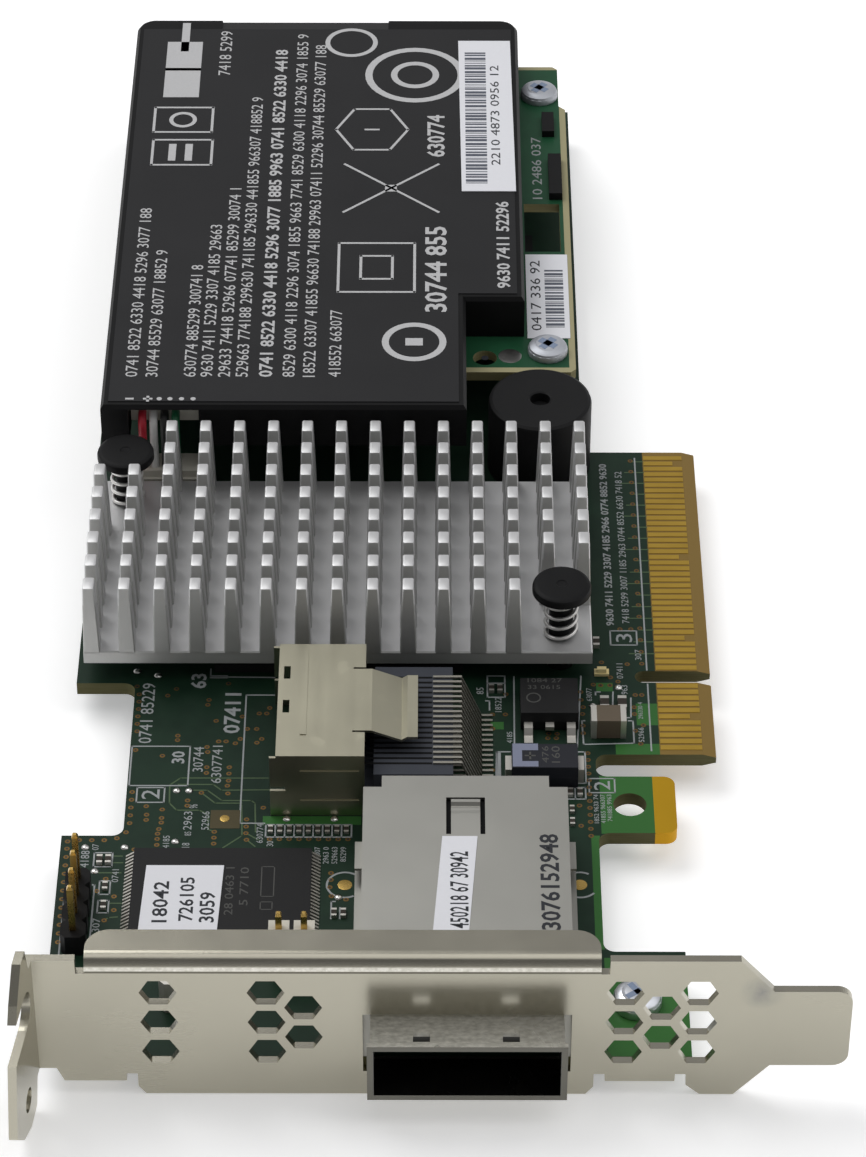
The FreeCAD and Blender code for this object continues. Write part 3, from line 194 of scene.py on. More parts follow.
def goldPlate(name, dull, bright, rough=0.3):
    s = Shade(name, metal=1.0)
    cloud = s.noise(250, 3)
    wear = s.noise(1.0, 3, vector=s.stretched(250, 3000, 300))
    s.set("Base Color", s.mix(cloud, dull, bright))
    s.set("Roughness", rough + (wear - 0.5) * 0.16)
    s.bump(wear, 0.06, 0.00002)
    return s.material


# Printed marks: ink with small gaps and an uneven edge tone.
def ink(name, colour, rough=0.6, worn=0.18):
    s = Shade(name, specular=0.3)
    speck = s.noise(6000, 3)
    s.set("Base Color", s.mix(speck, shaded(colour, 1 - worn), colour))
    s.set("Roughness", rough + (speck - 0.5) * 0.2)
    return s.material


def paper(name, colour):
    s = Shade(name, specular=0.3)
    fibre = s.noise(2500, 4)
    s.set("Base Color", s.mix(fibre, shaded(colour, 0.95), colour))
    s.set("Roughness", 0.62 + (fibre - 0.5) * 0.1)
    s.bump(fibre, 0.1, 0.00002)
    return s.material


def sleeve(name, colour):
    s = Shade(name, specular=0.5)
    cloud = s.noise(900, 3)
    s.set("Base Color", s.mix(cloud, colour, tuple(min(1, c * 1.3 + 0.01) for c in colour)))
    s.set("Roughness", 0.38 + (cloud - 0.5) * 0.1)
    s.bump(cloud, 0.15, 0.00003)
    return s.material


boardLook = dict(
    mask=(0.0065, 0.0200, 0.0115), maskPale=(0.0145, 0.0400, 0.0215), maskClear=(0.035, 0.135, 0.030),
    edge=(0.085, 0.080, 0.028), edgePale=(0.16, 0.15, 0.07), gold=(0.64, 0.37, 0.022),
    goldBoxes=[(61.9, 65.0, -24.9, -16.0)],
    # places without copper planes inside, where the mask is a clearer green
    clearBoxes=[(56.3, 61.9, -24.9, -16.0), (58.2, 62.9, -12.7, -10.9), (20.9, 31.2, -23.6, -22.3),
                (44.9, 46.3, -8.6, -7.4), (56.4, 58.2, -2.4, -1.0), (60.6, 62.9, -7.9, -4.4),
                (55.2, 56.1, -42.0, -25.2), (56.0, 64.3, -56.9, -43.2)],
    bareBoxes=[(62.9, 69.5, -13.5, 40.0)], bare=(0.22, 0.14, 0.035), rough=0.36, coat=0.05,
)


# Solder mask over copper: broad planes, fine mottling, clear green where nothing lies
# below, bare laminate on the cut edges and plated gold at the end of the tab. A rim is
# a pale border outside its own box.
def boardFinish(name, look, rim=None):
    s = Shade(name, coat=look["coat"], coatRough=0.2, specular=0.16)
    cloud = s.noise(70, 3)
    cells = s.add("ShaderNodeTexVoronoi", dict(distance="CHEBYCHEV"),
                  {"Vector": s.place, "Scale": 420, "Randomness": 0.9})
    pale = (cells * 0.5 + (cloud - 0.5) * 0.9 + 0.2).clamp()
    green = s.mix(pale, look["mask"], look["maskPale"])
    clear = s.boxes(look["clearBoxes"])
    if clear:
        green = s.mix(clear, green, look["maskClear"])
    if rim:
        green = s.mix(s.box(*rim["inside"]), rim["colour"], green)
    for box in look["bareBoxes"]:
        green = s.mix(s.box(*box), green, look["bare"])
    upright = s.facing(2).below(0.5)
    weave = s.noise(1.0, 2, vector=s.stretched(300, 300, 6000))
    colour = s.mix(upright, green, s.mix(weave, look["edge"], look["edgePale"]))
    gold = s.boxes(look["goldBoxes"])
    if gold:
        colour = s.mix(gold, colour, look["gold"])
        s.set("Metallic", gold)
    s.set("Base Color", colour)
    s.set("Roughness", look["rough"] + upright * 0.35 + (cloud - 0.5) * 0.1)
    s.bump(s.noise(1500, 3), 0.08, 0.00003)
    return s.material


# Moulded epoxy of a chip: matt grain and faint grey swirls.
def chipTop(name, colour=(0.0125, 0.0125, 0.0128), rough=0.5):
    s = Shade(name, specular=0.18)
    grain = s.noise(4000, 2)
    swirl = s.noise(150, 5, 0.65)
    s.set("Base Color", s.mix(swirl, shaded(colour, 0.8), shaded(colour, 1.35)))
    s.set("Roughness", rough + (swirl - 0.5) * 0.16)
    s.bump(grain, 0.35, 0.00002)
    return s.material


# Plated bracket steel: warm nickel with soft smears and a dark spot of painted shade near a fold.
def bracketFinish(name, look):
    s = Shade(name, metal=1.0)
    cloud = s.noise(45, 5, 0.6)
    grain = s.noise(1.0, 3, vector=s.stretched(300, 300, 9000))
    fine = s.noise(2600, 2)
    # painted shade: a dark spot near a fold, fading out from its centre
    bendDistance = s.add("ShaderNodeVectorMath", dict(operation="DISTANCE"),
                  {0: s.place, 1: look["bendShadeCentre"]}, output=1)
    spot = (1.0 - bendDistance * 420.0).clamp() * s.noise(700, 3) * 0.9
    tone = s.mix(cloud, look["dull"], look["bright"])
    # the fold to the flange: a painted highlight over the bend and a dark line of painted shade below it
    left, right = look["fold"]
    along = s.x.within((left - cardHeight) * mm, (right - cardHeight) * mm)
    foldHighlight = s.between(*look["foldHighlightBand"]) * along
    line = s.between(*look["foldShadeBand"]) * along
    tone = s.mix(foldHighlight * (fine * 0.9), tone, look["foldHighlight"])
    tone = s.mix(line * 0.75, tone, look["line"])
    s.set("Base Color", s.mix(spot.clamp(), tone, look["bendShade"]))
    s.set("Roughness", look["rough"] + (cloud - 0.5) * 0.14 + (grain - 0.5) * 0.06)
    s.bump(fine, 0.10, 0.00002)
    return s.material


# Cage sheet: even on the roof; on the nose before the bracket mottled and brighter with a painted
# sheen, with painted shade on its faces that look along y and inside the mouth.
def cageFinish(name, look):
    s = Shade(name)
    cloud = s.noise(90, 4, 0.6)
    fleck = s.noise(1.0, 3, vector=s.stretched(1400, 2600, 2600))
    nose = s.y.below(look["noseFrom"])
    roof = s.mix(cloud, shaded(look["roof"], 0.92), look["roof"])
    # painted sheen: the nose's mottle runs up to a much brighter colour than the roof
    mottled = s.mix(fleck, look["noseDull"], look["noseSheen"])
    mouth = s.box(*look["mouth"]) * s.between(*look["mouthHeight"])
    s.set("Metallic", 1.0 - nose * (1.0 - mouth) * 0.5)
    # painted shade: the nose's faces that look along y are darker
    rim = s.facing(1).above(0.8) * nose
    mottled = s.mix(rim, mottled, look["rim"])
    # painted shade inside the mouth
    mottled = s.mix(mouth, mottled, look["inside"])
    s.set("Base Color", s.mix(nose, roof, mottled))
    s.set("Roughness", look["rough"] + (cloud - 0.5) * 0.1 + nose * -0.10 + rim * 0.15)
    s.bump(fleck, 0.08, 0.00002)
    return s.material


# Fin metal: the faces that look along y are darker and rougher than the crowns and the other sides.
def sinkFinish(name, look):
    s = Shade(name, metal=0.72, specular=0.3)
    cloud = s.noise(120, 3)
    facesAlongY = s.facing(1).above(0.7)
    tone = s.mix(cloud, look["dull"], look["bright"])
    s.set("Base Color", s.mix(facesAlongY * 0.85, tone, look["facesAlongY"]))
    lines = s.noise(1.0, 2, vector=s.stretched(4000, 900, 900))
    s.set("Roughness", look["rough"] + facesAlongY * 0.12 + (lines - 0.5) * 0.12)
    s.bump(lines, 0.10, 0.00002)
    return s.material


metalLook = dict(
    # cage: the nose's bright colour is a painted sheen; rim and inside are painted shade
    cage=dict(roof=(0.43, 0.424, 0.388), noseDull=(0.30, 0.285, 0.23), noseSheen=(0.95, 0.93, 0.84),
              rim=(0.16, 0.155, 0.13), noseFrom=-57.3 * mm, rough=0.38,
              mouth=(32.9, 51.2, -70.0, -57.3), mouthHeight=(0.04, 6.18), inside=(0.14, 0.14, 0.13)),
    # bracket: the fold's bright band is a painted highlight; its dark line and the dark spot are painted
    # shade
    bracket=dict(dull=(0.395, 0.375, 0.305), bright=(0.48, 0.458, 0.378), rough=0.25,
                 fold=(4.9, 55.1), foldHighlightBand=(12.74, 13.20), foldShadeBand=(12.46, 12.72),
                 foldHighlight=(0.88, 0.86, 0.80), line=(0.07, 0.065, 0.05), bendShade=(0.15, 0.16, 0.18),
                 bendShadeCentre=((70.6 - cardHeight) * mm, -0.0579, 0.0100)),
    sink=dict(dull=(0.57, 0.57, 0.57), bright=(0.68, 0.68, 0.68), facesAlongY=(0.50, 0.50, 0.485),
              rough=0.46),
)
zinc = platedSteel("brightZinc", (0.66, 0.68, 0.72), 0.34, cloudy=0.15)
tin = platedSteel("satinTin", (0.62, 0.60, 0.55), 0.42, (6000, 6000, 900), metal=0.8)
# painted shade: a darker copy of the satin tin, so that the contact tails catch less of the key lamp
shadedTailTin = platedSteel("shadedTailTin", (0.36, 0.345, 0.30), 0.42, (6000, 6000, 900), metal=0.9)
flatZinc = platedSteel("flatZinc", (0.52, 0.54, 0.58), 0.5, cloudy=0.2, metal=0.7)
shellTin = platedSteel("shellTin", (0.53, 0.505, 0.385), 0.34, (900, 60, 900), 0.04, 0.16)
cageNickel = cageFinish("satinNickel", metalLook["cage"])
solder = platedSteel("solder", (0.70, 0.69, 0.66), 0.24, (900, 900, 900), 0.1, 0.2)
bracketMetal = bracketFinish("bracketNickel", metalLook["bracket"])
sinkMetal = sinkFinish("etchedAluminium", metalLook["sink"])
drawnWire = platedSteel("drawnWire", (0.74, 0.73, 0.71), 0.32, metal=0.8)
padGold = goldPlate("contactGold", (0.46, 0.29, 0.045), (0.58, 0.38, 0.07), 0.38)
pinGold = goldPlate("pinGold", (0.55, 0.36, 0.10), (0.70, 0.48, 0.15), 0.26)
viaGold = goldPlate("viaGold", (0.14, 0.085, 0.03), (0.21, 0.125, 0.045), 0.45)
blackPlastic = mouldedPlastic("blackPlastic", (0.0055, 0.0055, 0.0058), 0.50)
coreBlack = mouldedPlastic("coreBlack", (0.0018, 0.0018, 0.002), 0.6)
housingPlastic = mouldedPlastic("housingPlastic", (0.044, 0.048, 0.058), 0.45)
packPlastic = mouldedPlastic("packPlastic", (0.0050, 0.0050, 0.0053), 0.45, 3000, 0.3)
filmBlack = mouldedPlastic("filmBlack", (0.0125, 0.0125, 0.0135), 0.46, 2500, 0.12, 0.18)
buzzerPlastic = mouldedPlastic("buzzerPlastic", (0.0080, 0.0080, 0.0084), 0.52, 3500, 0.4)
naturalNylon = mouldedPlastic("naturalNylon", (0.50, 0.48, 0.42), 0.45)
epoxy = chipTop("epoxy")
tantalumCase = chipTop("tantalumCase", (0.0185, 0.0195, 0.025), 0.45)
tanCeramic = mouldedPlastic("tanCeramic", (0.115, 0.092, 0.066), 0.38, 2500, 0.2)
darkCeramic = mouldedPlastic("darkCeramic", (0.040, 0.034, 0.028), 0.35, 2500, 0.2)
lampResin = mouldedPlastic("lampResin", (0.62, 0.52, 0.26), 0.2, 2500, 0.1)
softPad = mouldedPlastic("softPad", (0.35, 0.35, 0.37), 0.8)
whitePaper = paper("whitePaper", (0.78, 0.785, 0.82))
maskGreen = boardFinish("solderMask", boardLook)
deckLook = dict(boardLook, mask=(0.012, 0.060, 0.027), maskPale=(0.016, 0.085, 0.038),
                goldBoxes=[], clearBoxes=[], bareBoxes=[],
                edge=(0.20, 0.18, 0.09), edgePale=(0.32, 0.29, 0.15))
maskDeck = boardFinish("deckMask", deckLook, dict(
    inside=(2.7, 54.45, 44.9, 107.8), colour=(0.36, 0.33, 0.19)))
whiteInk = ink("silkWhite", (0.36, 0.38, 0.385))
printInk = ink("printWhite", (0.55, 0.55, 0.555), 0.5)
# dark print, and also painted shade in the via holes and the battery board's hole
darkPrintAndHoleShade = ink("printDarkAndHoleShade", (0.020, 0.022, 0.028), 0.5)
barInk = ink("barGrey", (0.10, 0.11, 0.14), 0.5)
faintInk = ink("laserMark", (0.075, 0.075, 0.070), 0.6)
stripeInk = ink("stripeBlue", (0.22, 0.24, 0.33), 0.5)
traceInk = ink("traceGreen", (0.075, 0.125, 0.055), 0.35)
copperMask = ink("coveredCopper", (0.075, 0.060, 0.022), 0.35)
# painted shade for the screws' cross recesses
recessShade = ink("recessShadeBlue", (0.24, 0.30, 0.42), 0.4)

finishes = {
    "circuit_board": maskGreen, "battery_board": maskDeck,
    "edge_contacts_top": padGold, "edge_contacts_bottom": padGold,
    "mounting_bracket": bracketMetal, "bracket_screws": zinc, "battery_board_screws": flatZinc,
    "standoffs": zinc, "processor": epoxy, "thermal_pad": softPad, "heatsink": sinkMetal,
    "push_pins": blackPlastic, "push_pin_springs": drawnWire,
    "internal_connector_shell": shellTin, "internal_connector_housing": housingPlastic,
    "internal_connector_contacts": shadedTailTin, "external_connector_cage": cageNickel,
    "external_connector_core": coreBlack, "external_connector_contacts": padGold,
    "flash_memory": epoxy, "flash_memory_leads": tin, "voltage_regulator": epoxy,
    "voltage_regulator_leads": tin, "tantalum_capacitor": tantalumCase,
    "tantalum_terminals": tin, "ceramic_capacitor": tanCeramic, "ceramic_capacitor_ends": tin,
    "small_chips": darkCeramic, "small_chip_ends": tin, "status_led": lampResin,
    "crystal_can": tin, "key_header_base": blackPlastic, "key_header_pins": pinGold,
    "activity_header_bases": naturalNylon, "activity_header_pins": pinGold,
    "alarm_buzzer": buzzerPlastic, "memory_chips": epoxy, "link_socket": blackPlastic,
    "link_plug": blackPlastic, "battery_board_parts": blackPlastic,
    "battery_pack": packPlastic, "battery_label": filmBlack, "battery_plug": naturalNylon,
    "battery_lead_socket": naturalNylon,
    "red_wire": sleeve("redSleeve", (0.45, 0.012, 0.03)),
    "white_wire": sleeve("whiteSleeve", (0.62, 0.62, 0.60)),
    "black_wire": sleeve("blackSleeve", (0.012, 0.012, 0.012)),
    "green_wire": sleeve("greenSleeve", (0.012, 0.12, 0.05)),
    "flash_label": whitePaper, "port_label": whitePaper, "pack_barcode_label": whitePaper,
    "deck_barcode_label": whitePaper,
}
for node, finish in finishes.items():
    mesh = nodes[node].data
    mesh.materials.clear()
    mesh.materials.append(finish)
print("finishes on", len(finishes), "nodes")


# Mesh writing. All lengths are in millimetres, x from the board's left edge.
def nodeBox(node):
    low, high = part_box(node)
    shift = Vector((cardHeight, 0, 0))
    return low / mm + shift, high / mm + shift


# Many closed lofts at once. Rings is shapes x levels x corners x 3, each ring running
# anticlockwise seen from ahead. Sides join each level to the next. The two ends are
# capped, or with closed=True the last level joins the first.
def loft(rings, closed=False):
    shapes, levels, corners = rings.shape[:3]
    index = np.arange(shapes * levels * corners).reshape(shapes, levels, corners)
    right = np.roll(index, -1, axis=2)
    if closed:
        sides = np.stack([index, right, np.roll(right, -1, axis=1),
                          np.roll(index, -1, axis=1)], -1)
        return rings.reshape(-1, 3), [sides.reshape(-1, 4)]
    sides = np.stack([index[:, :-1], right[:, :-1], right[:, 1:], index[:, 1:]], -1)
    return rings.reshape(-1, 3), [sides.reshape(-1, 4), index[:, 0, ::-1], index[:, -1]]


# Rings round upright axes: radius r at height z gives (x + r cos a, y + r sin a, z).
def turned(places, profile, around=24):
    angle = np.linspace(0, 2 * math.pi, around, endpoint=False)
    radius, height = np.array(profile, float).T
    circle = np.stack([np.cos(angle), np.sin(angle), np.zeros(around)], -1)
    rings = radius[:, None, None] * circle[None] + height[:, None, None] * np.array([0, 0, 1])
    offset = np.array([(x, y, 0) for x, y in places], float)
    return loft(rings[None] + offset[:, None, None])


# Round tube along a path: at each point a circle in the plane across the path's
# tangent, spanned by two vectors u and v with u x v along the tangent.
def tube(path, radius, around):
    path = np.array(path, float)
    ahead = np.gradient(path, axis=0)
    ahead /= np.linalg.norm(ahead, axis=1)[:, None]
    guide = np.array([1.0, 0.02, 0.03])
    v = np.cross(ahead, guide)
    v /= np.linalg.norm(v, axis=1)[:, None]
    u = np.cross(v, ahead)
    angle = np.linspace(0, 2 * math.pi, around, endpoint=False)[None, :, None]
    rings = path[:, None] + radius * (u[:, None] * np.cos(angle) + v[:, None] * np.sin(angle))
    return loft(rings[None])


# Flat bars: half length along the bar's angle, half width across it, z0 to z1.
def bars(rows, z0, z1):
    x, y, halfLong, halfWide, angle = np.array(rows, float).T
    cos, sin = np.cos(angle), np.sin(angle)
    corner = np.array([(-1, -1), (1, -1), (1, 1), (-1, 1)], float)
    a = corner[None, :, 0] * halfLong[:, None]
    b = corner[None, :, 1] * halfWide[:, None]
    px = x[:, None] + a * cos[:, None] - b * sin[:, None]
    py = y[:, None] + a * sin[:, None] + b * cos[:, None]
    level = np.array([z0, z1], float)
    rings = np.stack([np.broadcast_to(px[:, None], (len(x), 2, 4)),
                      np.broadcast_to(py[:, None], (len(x), 2, 4)),
                      np.broadcast_to(level[None, :, None], (len(x), 2, 4))], -1)
    return loft(rings)


def strokes(lines, width, z0, z1):
    # each line is a list of corners; every run becomes one bar, a little long at its ends
    rows = []
    for line in lines:
        for (x0, y0), (x1, y1) in zip(line, line[1:]):
            length = math.hypot(x1 - x0, y1 - y0)
            rows.append(((x0 + x1) / 2, (y0 + y1) / 2, length / 2 + width * 0.4, width / 2,
                         math.atan2(y1 - y0, x1 - x0)))
    return bars(rows, z0, z1)


def boxLine(x0, x1, y0, y1):
    # the outline of a rectangle, back to its first corner
    return [(x0, y0), (x1, y0), (x1, y1), (x0, y1), (x0, y0)]


# Flat ring: inner and outer radius from the centre, at angles from start to end in
# degrees. A whole ring joins its end to its start.
def arcBand(x, y, inner, outer, z0, z1, start=0.0, end=360.0, steps=36):
    closed = end - start == 360
    angle = np.radians(np.linspace(start, end, steps, endpoint=not closed))
    way = np.stack([np.cos(angle), np.sin(angle)], -1)
    ring = np.stack([
        np.concatenate([x + way[:, :1] * r, y + way[:, 1:] * r, np.full((steps, 1), z)], 1)
        for r, z in ((inner, z0), (outer, z0), (outer, z1), (inner, z1))], 1)
    return loft(ring[None, ::-1], closed)


# Plain digits as a solid flat mesh, fitted to a box of the card. The text reads along
# +y with its top towards -x, or along +x with its top towards +y.
def digits(rows, z0, z1, along="y", bold=0.0):
    parts = []
    for x0, x1, y0, y1, text in rows:
        curve = bpy.data.curves.new("digits", "FONT")
        curve.body = text
        curve.extrude = 0.5
        curve.offset = bold
        curve.resolution_u = 2
        holder = bpy.data.objects.new("digits", curve)
        mesh = bpy.data.meshes.new_from_object(holder)
        points = np.empty(len(mesh.vertices) * 3)
        mesh.vertices.foreach_get("co", points)
        points = points.reshape(-1, 3)
        low, high = points.min(0), points.max(0)
        unit = (points - low) / np.maximum(high - low, 1e-6)
        if along == "y":
            place = np.stack([x1 + (x0 - x1) * unit[:, 1], y0 + (y1 - y0) * unit[:, 0]], 1)
        else:
            place = np.stack([x0 + (x1 - x0) * unit[:, 0], y0 + (y1 - y0) * unit[:, 1]], 1)
        height = z0 + (z1 - z0) * unit[:, 2:]
        faces = [np.array(face.vertices)[None] for face in mesh.polygons]
        parts.append((np.concatenate([place, height], 1), faces))
        bpy.data.objects.remove(holder)
        bpy.data.curves.remove(curve)
        bpy.data.meshes.remove(mesh)
    return parts


# One piece from many parts: their points are stacked, moved to the frame's metres, and
# given a finish and a body.
def meshPiece(name, parts, finish, replaces=(), sharp=30):
    points, faces, start = [], [], 0
    for block, groups in parts:
        points.append(block)
        faces += [face for group in groups for face in (group + start).tolist()]
        start += len(block)
    allPoints = (np.concatenate(points) - (cardHeight, 0, 0)) * mm
    mesh = bpy.data.meshes.new(name)
    mesh.from_pydata(allPoints.tolist(), [], faces)
    mesh.shade_smooth()
    mesh.set_sharp_from_angle(angle=math.radians(sharp))
    mesh.materials.append(finish)
    piece = bpy.data.objects.new(name, mesh)
    bpy.context.scene.collection.objects.link(piece)
    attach(piece, "root")
    if replaces:
        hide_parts(*replaces)
    print(name, len(faces), "faces")
    return piece


fins = dict(columns=15, rows=8, foot=1.85, length=2.20, base=4.15, bevel=0.16, lean=0.10,
            chamfer=0.12, plateEdge=0.14,
            leftOut=2)                 # pins left out each way at two of the corners


# Pin field: each pin is a rounded rectangle of eight corners, lofted from its foot to
# its crown, and the last two levels step inwards for a bevelled edge.
def sinkFins():
    low, high = nodeBox("heatsink")
    columns, rows = fins["columns"], fins["rows"]
    column, row = np.meshgrid(np.arange(columns), np.arange(rows), indexing="ij")
    cut = fins["leftOut"]
    kept = ~(((column >= columns - cut) & (row < cut)) | ((column < cut) & (row >= rows - cut)))
    column, row = column[kept], row[kept]
    x = low.x + fins["foot"] / 2 + column * (high.x - low.x - fins["foot"]) / (columns - 1)
    y = low.y + fins["length"] / 2 + row * (high.y - low.y - fins["length"]) / (rows - 1)
    top = high.z
    bevel = fins["bevel"]
    # height, how much narrower each side, how much shorter each end
    stages = [(fins["base"] - 0.2, 0.0, 0.0), (fins["base"] + 0.25, 0.03, 0.0),
              ((fins["base"] + top) / 2, 0.15, fins["lean"] / 2),
              (top - bevel * 1.2, 0.30, fins["lean"]), (top - bevel * 0.35, 0.36, 0.14),
              (top, 0.50, 0.26)]
    rings = []
    for z, narrow, short in stages:
        hx = fins["foot"] / 2 - narrow
        hy = fins["length"] / 2 - short
        c = fins["chamfer"]
        corner = np.array([(-hx + c, -hy), (hx - c, -hy), (hx, -hy + c), (hx, hy - c),
                           (hx - c, hy), (-hx + c, hy), (-hx, hy - c), (-hx, -hy + c)])
        rings.append(np.concatenate([corner, np.full((8, 1), z)], 1))
    rings = np.array(rings)[None] + np.stack([x, y, 0 * x], -1)[:, None, None]
    edge = fins["plateEdge"]
    outline = []
    for z, inset in ((low.z, edge), (low.z + edge, 0), (fins["base"] - edge, 0),
                     (fins["base"], edge)):
        a, b, c, d = low.x + inset, high.x - inset, low.y + inset, high.y - inset
        outline.append([(a, c, z), (b, c, z), (b, d, z), (a, d, z)])
    meshPiece("sink_fins", [loft(rings), loft(np.array([outline]))], sinkMetal,
              ("heatsink",))


pins = dict(radius=3.18, height=1.15, shaft=1.30, barb=1.75, spring=1.68, wire=0.21,
            turns=4.9, closed=0.10,    # closed is the share of the wire in each flat end
            steps=190)


def pinPlaces():
    low, high = nodeBox("push_pin_springs")
    reach = pins["spring"] + pins["wire"]
    return [(low.x + reach, high.y - reach), (high.x - reach, low.y + reach)]


# A push pin is one profile of radius and height turned about each pin's axis: a barbed
# foot, the shaft, and a round head with a flat dish in its crown.
def pushPins():
    low, high = nodeBox("push_pins")
    r, top, under = pins["radius"], high.z, high.z - pins["height"]
    shaft = pins["shaft"]
    profile = [(shaft * 0.55, low.z), (shaft * 1.0, low.z + 0.5), (pins["barb"], -2.0),
               (pins["barb"], -1.6), (shaft, -1.55), (shaft, under - 0.25), (shaft + 0.25, under),
               (r - 0.12, under), (r, under + 0.12), (r, top - 0.45), (r - 0.10, top - 0.20),
               (r - 0.36, top - 0.03), (r - 0.55, top), (0.62, top), (0.50, top - 0.10),
               (0.02, top - 0.12)]
    meshPiece("pin_heads", [turned(pinPlaces(), profile, 48)], blackPlastic,
              ("push_pins",))


# Springs: x = r cos t, y = r sin t, z rising with t, and closed flat turns at both ends.
def pinSprings():
    low, high = nodeBox("push_pin_springs")
    parts = []
    t = np.linspace(0, 1, pins["steps"])
    turn = 2 * math.pi * pins["turns"] * t
    rise = np.clip((t - pins["closed"]) / (1 - 2 * pins["closed"]), 0, 1)
    z = low.z + pins["wire"] + (high.z - low.z - 2 * pins["wire"]) * rise
    for x, y in pinPlaces():
        path = np.stack([x + pins["spring"] * np.cos(turn), y + pins["spring"] * np.sin(turn), z], 1)
        parts.append(tube(path, pins["wire"], 10))
    meshPiece("pin_coils", parts, drawnWire, ("push_pin_springs",), 60)


leads = dict(radius=0.47, bend=1.25, steps=14)


# Held wires: out of the plug, one quarter turn downwards, and into the socket. The
# turn is centre + bend (sin a, cos a), a from 0 to 90 degrees.
def leadWires():
    for node, slot in (("red_wire", "red_sleeve"), ("white_wire", "white_sleeve"),
                       ("black_wire", "black_sleeve"), ("green_wire", "green_sleeve")):
        low, high = nodeBox(node)
        x = (low.x + high.x) / 2
        r, bend, steps = leads["radius"], leads["bend"], leads["steps"]
        y, z = low.y + r, high.z - r
        a = np.linspace(0, math.pi / 2, steps)
        arc = np.stack([np.full(steps, x), y + bend - bend * np.sin(a),
                        z - bend + bend * np.cos(a)], 1)
        start = [(x, high.y, z), (x, high.y - 0.05, z)]
        end = [(x, y, low.z + 0.4), (x, y, low.z)]
        finish = nodes[node].data.materials[0]
        meshPiece(node + "_round", [tube(np.concatenate([start, arc, end]), r, 20)], finish,
                  (node,), 60)


# Pan heads: a crowned profile turned about each screw, and a thin dark cross of two
# bars on the crown, painted shade for its recess.
def panHeads(name, node, look):
    radius, slot, cross = look["radius"], look["slot"], look["cross"]
    boxLow, boxHigh = nodeBox(node)
    high, low, rise = boxHigh.z, boxHigh.z - look["rise"], look["rise"]
    near = (boxLow.x + radius, boxLow.y + radius)
    across = (boxHigh.x - radius, near[1])
    behind = (near[0], boxHigh.y - radius)
    places = [near, across if look["row"] == "x" else behind]
    profile = [(radius - 0.05, low + 0.01), (radius + 0.01, low + 0.08), (radius + 0.01, low + rise * 0.45),
               (radius * 0.93, low + rise * 0.75), (radius * 0.76, low + rise * 0.93),
               (radius * 0.50, high + 0.012), (0.05, high + 0.02)]
    meshPiece(name, [turned(places, profile, 40)], look["finish"])
    rows = []
    for x, y in places:
        for angle in (cross["turn"], cross["turn"] + math.pi / 2):
            rows.append((x, y, radius * cross["reach"], radius * cross["width"], angle))
    meshPiece(name + "_cross", [bars(rows, high, high + 0.035)], cross["finish"])


buzzer = dict(
    foot=0.1,
    crown=[(0.0, 0.55), (0.12, 0.2), (0.45, 0.0)],               # inset from the wall, depth
    port=[(1.35, 0.0), (1.15, 0.12), (1.10, 1.2), (0.05, 1.25)],   # radius, depth
)


# The alarm's can: one profile turned about its axis, with a chamfered foot, a rounded
# crown and the sound port sunk in the middle. Depths are below the top.
def buzzerCan():
    low, high = nodeBox("alarm_buzzer")
    x, y, r = (low.x + high.x) / 2, (low.y + high.y) / 2, (high.x - low.x) / 2
    top = high.z
    profile = [(r - buzzer["foot"], 0.0), (r, buzzer["foot"])]
    profile += [(r - inset, top - depth) for inset, depth in buzzer["crown"]]
    profile += [(radius, top - depth) for radius, depth in buzzer["port"]]
    meshPiece("buzzer_can", [turned([(x, y)], profile, 72)], buzzerPlastic,
              ("alarm_buzzer",))


def plain(length, height, start=0):
    # a run of plain digits in groups, long enough for its box
    count = max(2, int(round(abs(length) / (abs(height) * 0.72))))
    run = "".join(str((start * 3 + i * 7 + (i // 4) * 3) % 10) for i in range(count))
    gap = 4 + start % 3
    return "".join(" " if i % (gap + 1) == gap and i < count - 1 else c for i, c in enumerate(run))


def filled(boxes):
    # each box gets a run of digits that suits its length
    return [(x0, x1, y0, y1, plain(y1 - y0, x1 - x0, k)) for k, (x0, x1, y0, y1) in enumerate(boxes)]


